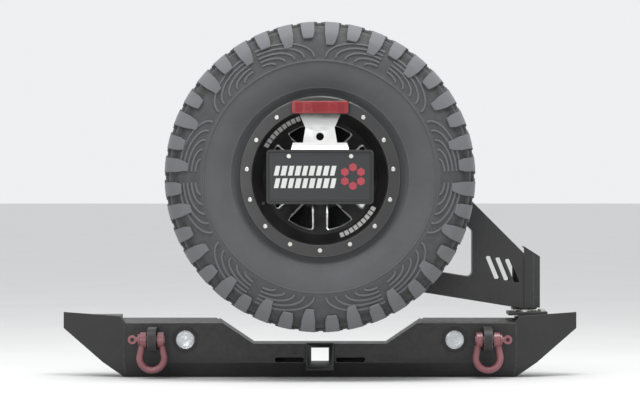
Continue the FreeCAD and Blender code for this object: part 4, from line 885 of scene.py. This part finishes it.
# ---- lights ----------------------------------------------------------------------------------------------
def brake_lens():
    """The red lens: a crowned block with two round reflectors and upright optic flutes between them."""
    mesh = bmesh.new()
    half_x, half_z = (LENS_HIGH.x - LENS_LOW.x) / 2, (LENS_HIGH.z - LENS_LOW.z) / 2
    front, back = LENS_LOW.y, LENS_HIGH.y
    middle_z = (LENS_LOW.z + LENS_HIGH.z) / 2
    shell = back - front - 1.2
    bmesh.ops.create_cube(mesh, size=1.0)
    bmesh.ops.transform(mesh, matrix=Matrix.Translation((0, back - shell / 2, middle_z))
                        @ Matrix.Diagonal((2 * half_x, shell, 2 * half_z, 1)), verts=mesh.verts)
    uprights = [e for e in mesh.edges if abs(e.verts[0].co.y - e.verts[1].co.y) > 1]
    round_off(mesh, uprights, 5, segments=5)
    rim = [e for e in mesh.edges if all(v.co.y < front + 1.3 for v in e.verts)]
    round_off(mesh, rim, 2.0, segments=3)
    face_y = front + 1.2
    reflector_x, reflector_r = 34, 13.2
    rings = [(0, 0.9), (3.2, 0.9), (3.8, 0.2), (4.4, 0.9), (7.2, 0.9), (7.8, 0.2), (8.4, 0.9), (11.2, 0.9),
             (11.8, -0.3)]
    for x in (-reflector_x, reflector_x):
        turned(mesh, [(r, face_y - lift) for r, lift in rings], x, middle_z, steps=32)
    flute = 2.6
    for i in range(-26, 27):
        x = i * flute
        if abs(abs(x) - reflector_x) < reflector_r:
            continue
        bmesh.ops.create_cone(mesh, cap_ends=True, segments=8, radius1=flute * 0.52, radius2=flute * 0.52,
                              depth=2 * half_z - 9, matrix=Matrix.Translation((x, face_y + 0.5, middle_z)))
    bmesh.ops.remove_doubles(mesh, verts=mesh.verts, dist=0.001)
    bmesh.ops.recalc_face_normals(mesh, faces=mesh.faces)
    put(scaled(mesh), "fluted_brake_lens", "light_and_plate", [RED_LENS],
        ["brake_light_lens"], crease=35)


def reversing_lenses():
    """Round clear lenses with ringed optics, and the bright faceted bowls behind them."""
    lens, bowl = bmesh.new(), bmesh.new()
    middle_z = (LAMP_LOW.z + LAMP_HIGH.z) / 2
    reach = (LAMP_HIGH.x - LAMP_LOW.x) / 2 - 27
    front = LAMP_LOW.y
    for side in (LEFT, RIGHT):
        x = side * reach
        profile = [(0, front + 0.2)]
        for ring in range(1, 9):
            crown = 4.8 * (ring / 9.2) ** 2
            profile += [(3.0 * ring - 0.4, front + 0.3 + crown), (3.0 * ring, front + 0.9 + crown)]
        profile += [(26.4, front + 5.0), (26.8, front + 7.9), (0, front + 7.9)]
        turned(lens, profile, x, middle_z, steps=48)
        dish = [(0, front + 12.6), (9, front + 12.2), (18, front + 11.0), (26.6, front + 8.2)]
        turned(bowl, dish, x, middle_z, steps=16)
        for row in (-1, 0, 1):
            for column in (-1, 0, 1):
                bmesh.ops.create_cone(bowl, cap_ends=True, segments=4, radius1=5.0, radius2=3.0, depth=1.6,
                                      matrix=facing_out(x + 9.5 * column, front + 11.4, middle_z + 9.5 * row,
                                                        math.pi / 4))
    for mesh in (lens, bowl):
        bmesh.ops.remove_doubles(mesh, verts=mesh.verts, dist=0.001)
        bmesh.ops.recalc_face_normals(mesh, faces=mesh.faces)
    put(scaled(lens), "ringed_reversing_lenses", "bumper", [CLEAR_LENS],
        ["reversing_light_lenses"], crease=20)
    put(scaled(bowl), "reversing_light_bowls", "bumper", [REFLECTOR],
        crease=10)


brake_lens()
reversing_lenses()


# ---- welds -----------------------------------------------------------------------------------------------
def weld(name, body, runs, size=2.6, step=3.4):
    """Beads along straight runs from one point to another, with the ripples that the torch leaves."""
    dice = random.Random(len(name))
    samples, sides = 4, 7
    mesh = bmesh.new()
    for start, end in runs:
        run = Vector(end) - Vector(start)
        ripples = max(2, round(run.length / step))
        strip = bmesh.ops.create_grid(mesh, x_segments=ripples * samples, y_segments=sides, size=1.0)["verts"]
        turn = run.to_track_quat("X", "Z").to_matrix()
        swell = [size * dice.uniform(0.9, 1.1) for _ in range(ripples + 1)]
        for vert in strip:
            along, around = (vert.co.x + 1) / 2, math.pi * vert.co.y
            ripple, into = divmod(along * ripples, 1.0)
            crest = 0.78 + 0.22 * math.sin(math.pi * into) if 0 < along < 1 else 0.3
            reach = swell[int(ripple)] * crest
            vert.co = Vector(start) + run * along + turn @ Vector((0, reach * math.cos(around),
                                                                   reach * math.sin(around)))
    bmesh.ops.remove_doubles(mesh, verts=mesh.verts, dist=0.001)
    bmesh.ops.recalc_face_normals(mesh, faces=mesh.faces)
    put(scaled(mesh), name, body, [COAT], level=False, crease=80)


def upright_seams(half, y, low, high):
    """The two upright seams of a square tube on a plate."""
    return [((x, y, low), (x, y, high)) for x in (-half, half)]


def square_seam(half, y, z):
    """All four seams of a square tube on a plate."""
    level = [((-half, y, z + rise), (half, y, z + rise)) for rise in (-half, half)]
    return upright_seams(half, y, z - half, z + half) + level


FACE_Y = -240.0          # front of the bumper's centre face
POST_X = 592.0           # corner where the arm's rear plate meets the hinge post's cover
ARM_RUN = [(POST_X, 277), (330, 540), (150, 650), (-150, 650), (-150, 330), (-60, 224), (POST_X, 119)]
TAB_THICK = 25.0


def tab_seams():
    """Both long sides and the top of each shackle tab."""
    low, high = (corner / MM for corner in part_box("shackle_tabs"))
    runs = []
    for side in (LEFT, RIGHT):
        outer, inner = side * high.x, side * (high.x - TAB_THICK)
        for x in (outer, inner):
            runs.append(((x, FACE_Y, low.z + 2), (x, FACE_Y, high.z - 2)))
        runs.append(((inner, FACE_Y, high.z), (outer, FACE_Y, high.z)))
    return runs


def arm_seams():
    """Round the arm's edge strips, along its rear plate and its front plate."""
    return [((x0, y, z0), (x1, y, z1)) for y in (-165.0, -100.0)
            for (x0, z0), (x1, z1) in zip(ARM_RUN, ARM_RUN[1:])]


def frame_bracket_seams():
    """Both sides of each frame bracket's web, at the bumper and at its bolting plate."""
    return [((side * x, y, -46), (side * x, y, 46)) for side in (LEFT, RIGHT)
            for x in (402, 408, 432, 438) for y in (-90.0, -8.0)]


weld("shackle_tab_welds", "bumper", tab_seams(), size=3.4)
weld("receiver_welds", "bumper", upright_seams(39.75, FACE_Y, -35, 15), size=3.0)
weld("arm_post_weld", "swing_arm", [((POST_X, -169.2, 122), (POST_X, -169.2, 274))], size=2.2)
weld("arm_seam_welds", "swing_arm", arm_seams(), size=1.5, step=4.0)
weld("socket_welds", "swing_arm", square_seam(47.5, -170, AXLE_Z), size=3.0)
weld("hub_welds", "wheel_mount", square_seam(40, -316.3, AXLE_Z), size=3.0)
weld("frame_bracket_welds", "bumper", frame_bracket_seams(), size=2.6)


# ---- studio ----------------------------------------------------------------------------------------------
def studio():
    """A pale floor, soft even light and the camera straight behind the vehicle."""
    low, high = cad_box
    mesh = bmesh.new()
    bmesh.ops.create_grid(mesh, x_segments=1, y_segments=1, size=60.0,
                          matrix=Matrix.Translation((0, 0, low.z - 0.001)))
    data = bpy.data.meshes.new("studio_floor")
    mesh.to_mesh(data)
    mesh.free()
    data.materials.append(FLOOR)
    floor = bpy.data.objects.new("studio_floor", data)
    bpy.context.scene.collection.objects.link(floor)

    world = bpy.data.worlds.new("studio_air")
    bpy.context.scene.world = world
    world.use_nodes = True
    air = world.node_tree.nodes["Background"]
    air.inputs["Color"].default_value = linear("#fafbfd")
    air.inputs["Strength"].default_value = 0.9

    middle = (low + high) / 2
    for name, place, size, power in (("key_softbox", (-2.2, -2.4, 4.4), 1.8, 60),
                                     ("top_softbox", (0.5, -1.3, 3.6), 1.8, 95),
                                     ("dish_softbox", (-0.9, -6.0, 0.9), 1.4, 22)):
        lamp = bpy.data.lights.new(name, "AREA")
        lamp.size = size
        lamp.energy = power
        light = bpy.data.objects.new(name, lamp)
        light.location = place
        light.rotation_mode = "QUATERNION"
        light.rotation_quaternion = (middle - Vector(place)).to_track_quat("-Z", "Y")
        bpy.context.scene.collection.objects.link(light)

    # straight behind the vehicle, level with the wheel's centre, 9.46 m from the frame's mounting face
    camera = bpy.data.cameras.new("camera")
    camera.lens = 180
    camera.sensor_width = 36
    camera.shift_y = -0.036
    camera.clip_end = 100
    viewer = bpy.data.objects.new("camera", camera)
    viewer.location = (0, -9.459, AXLE_Z * MM)
    viewer.rotation_euler = (math.pi / 2, 0, 0)
    bpy.context.scene.collection.objects.link(viewer)
    bpy.context.scene.camera = viewer
    bpy.context.scene.view_settings.view_transform = "Standard"


studio()
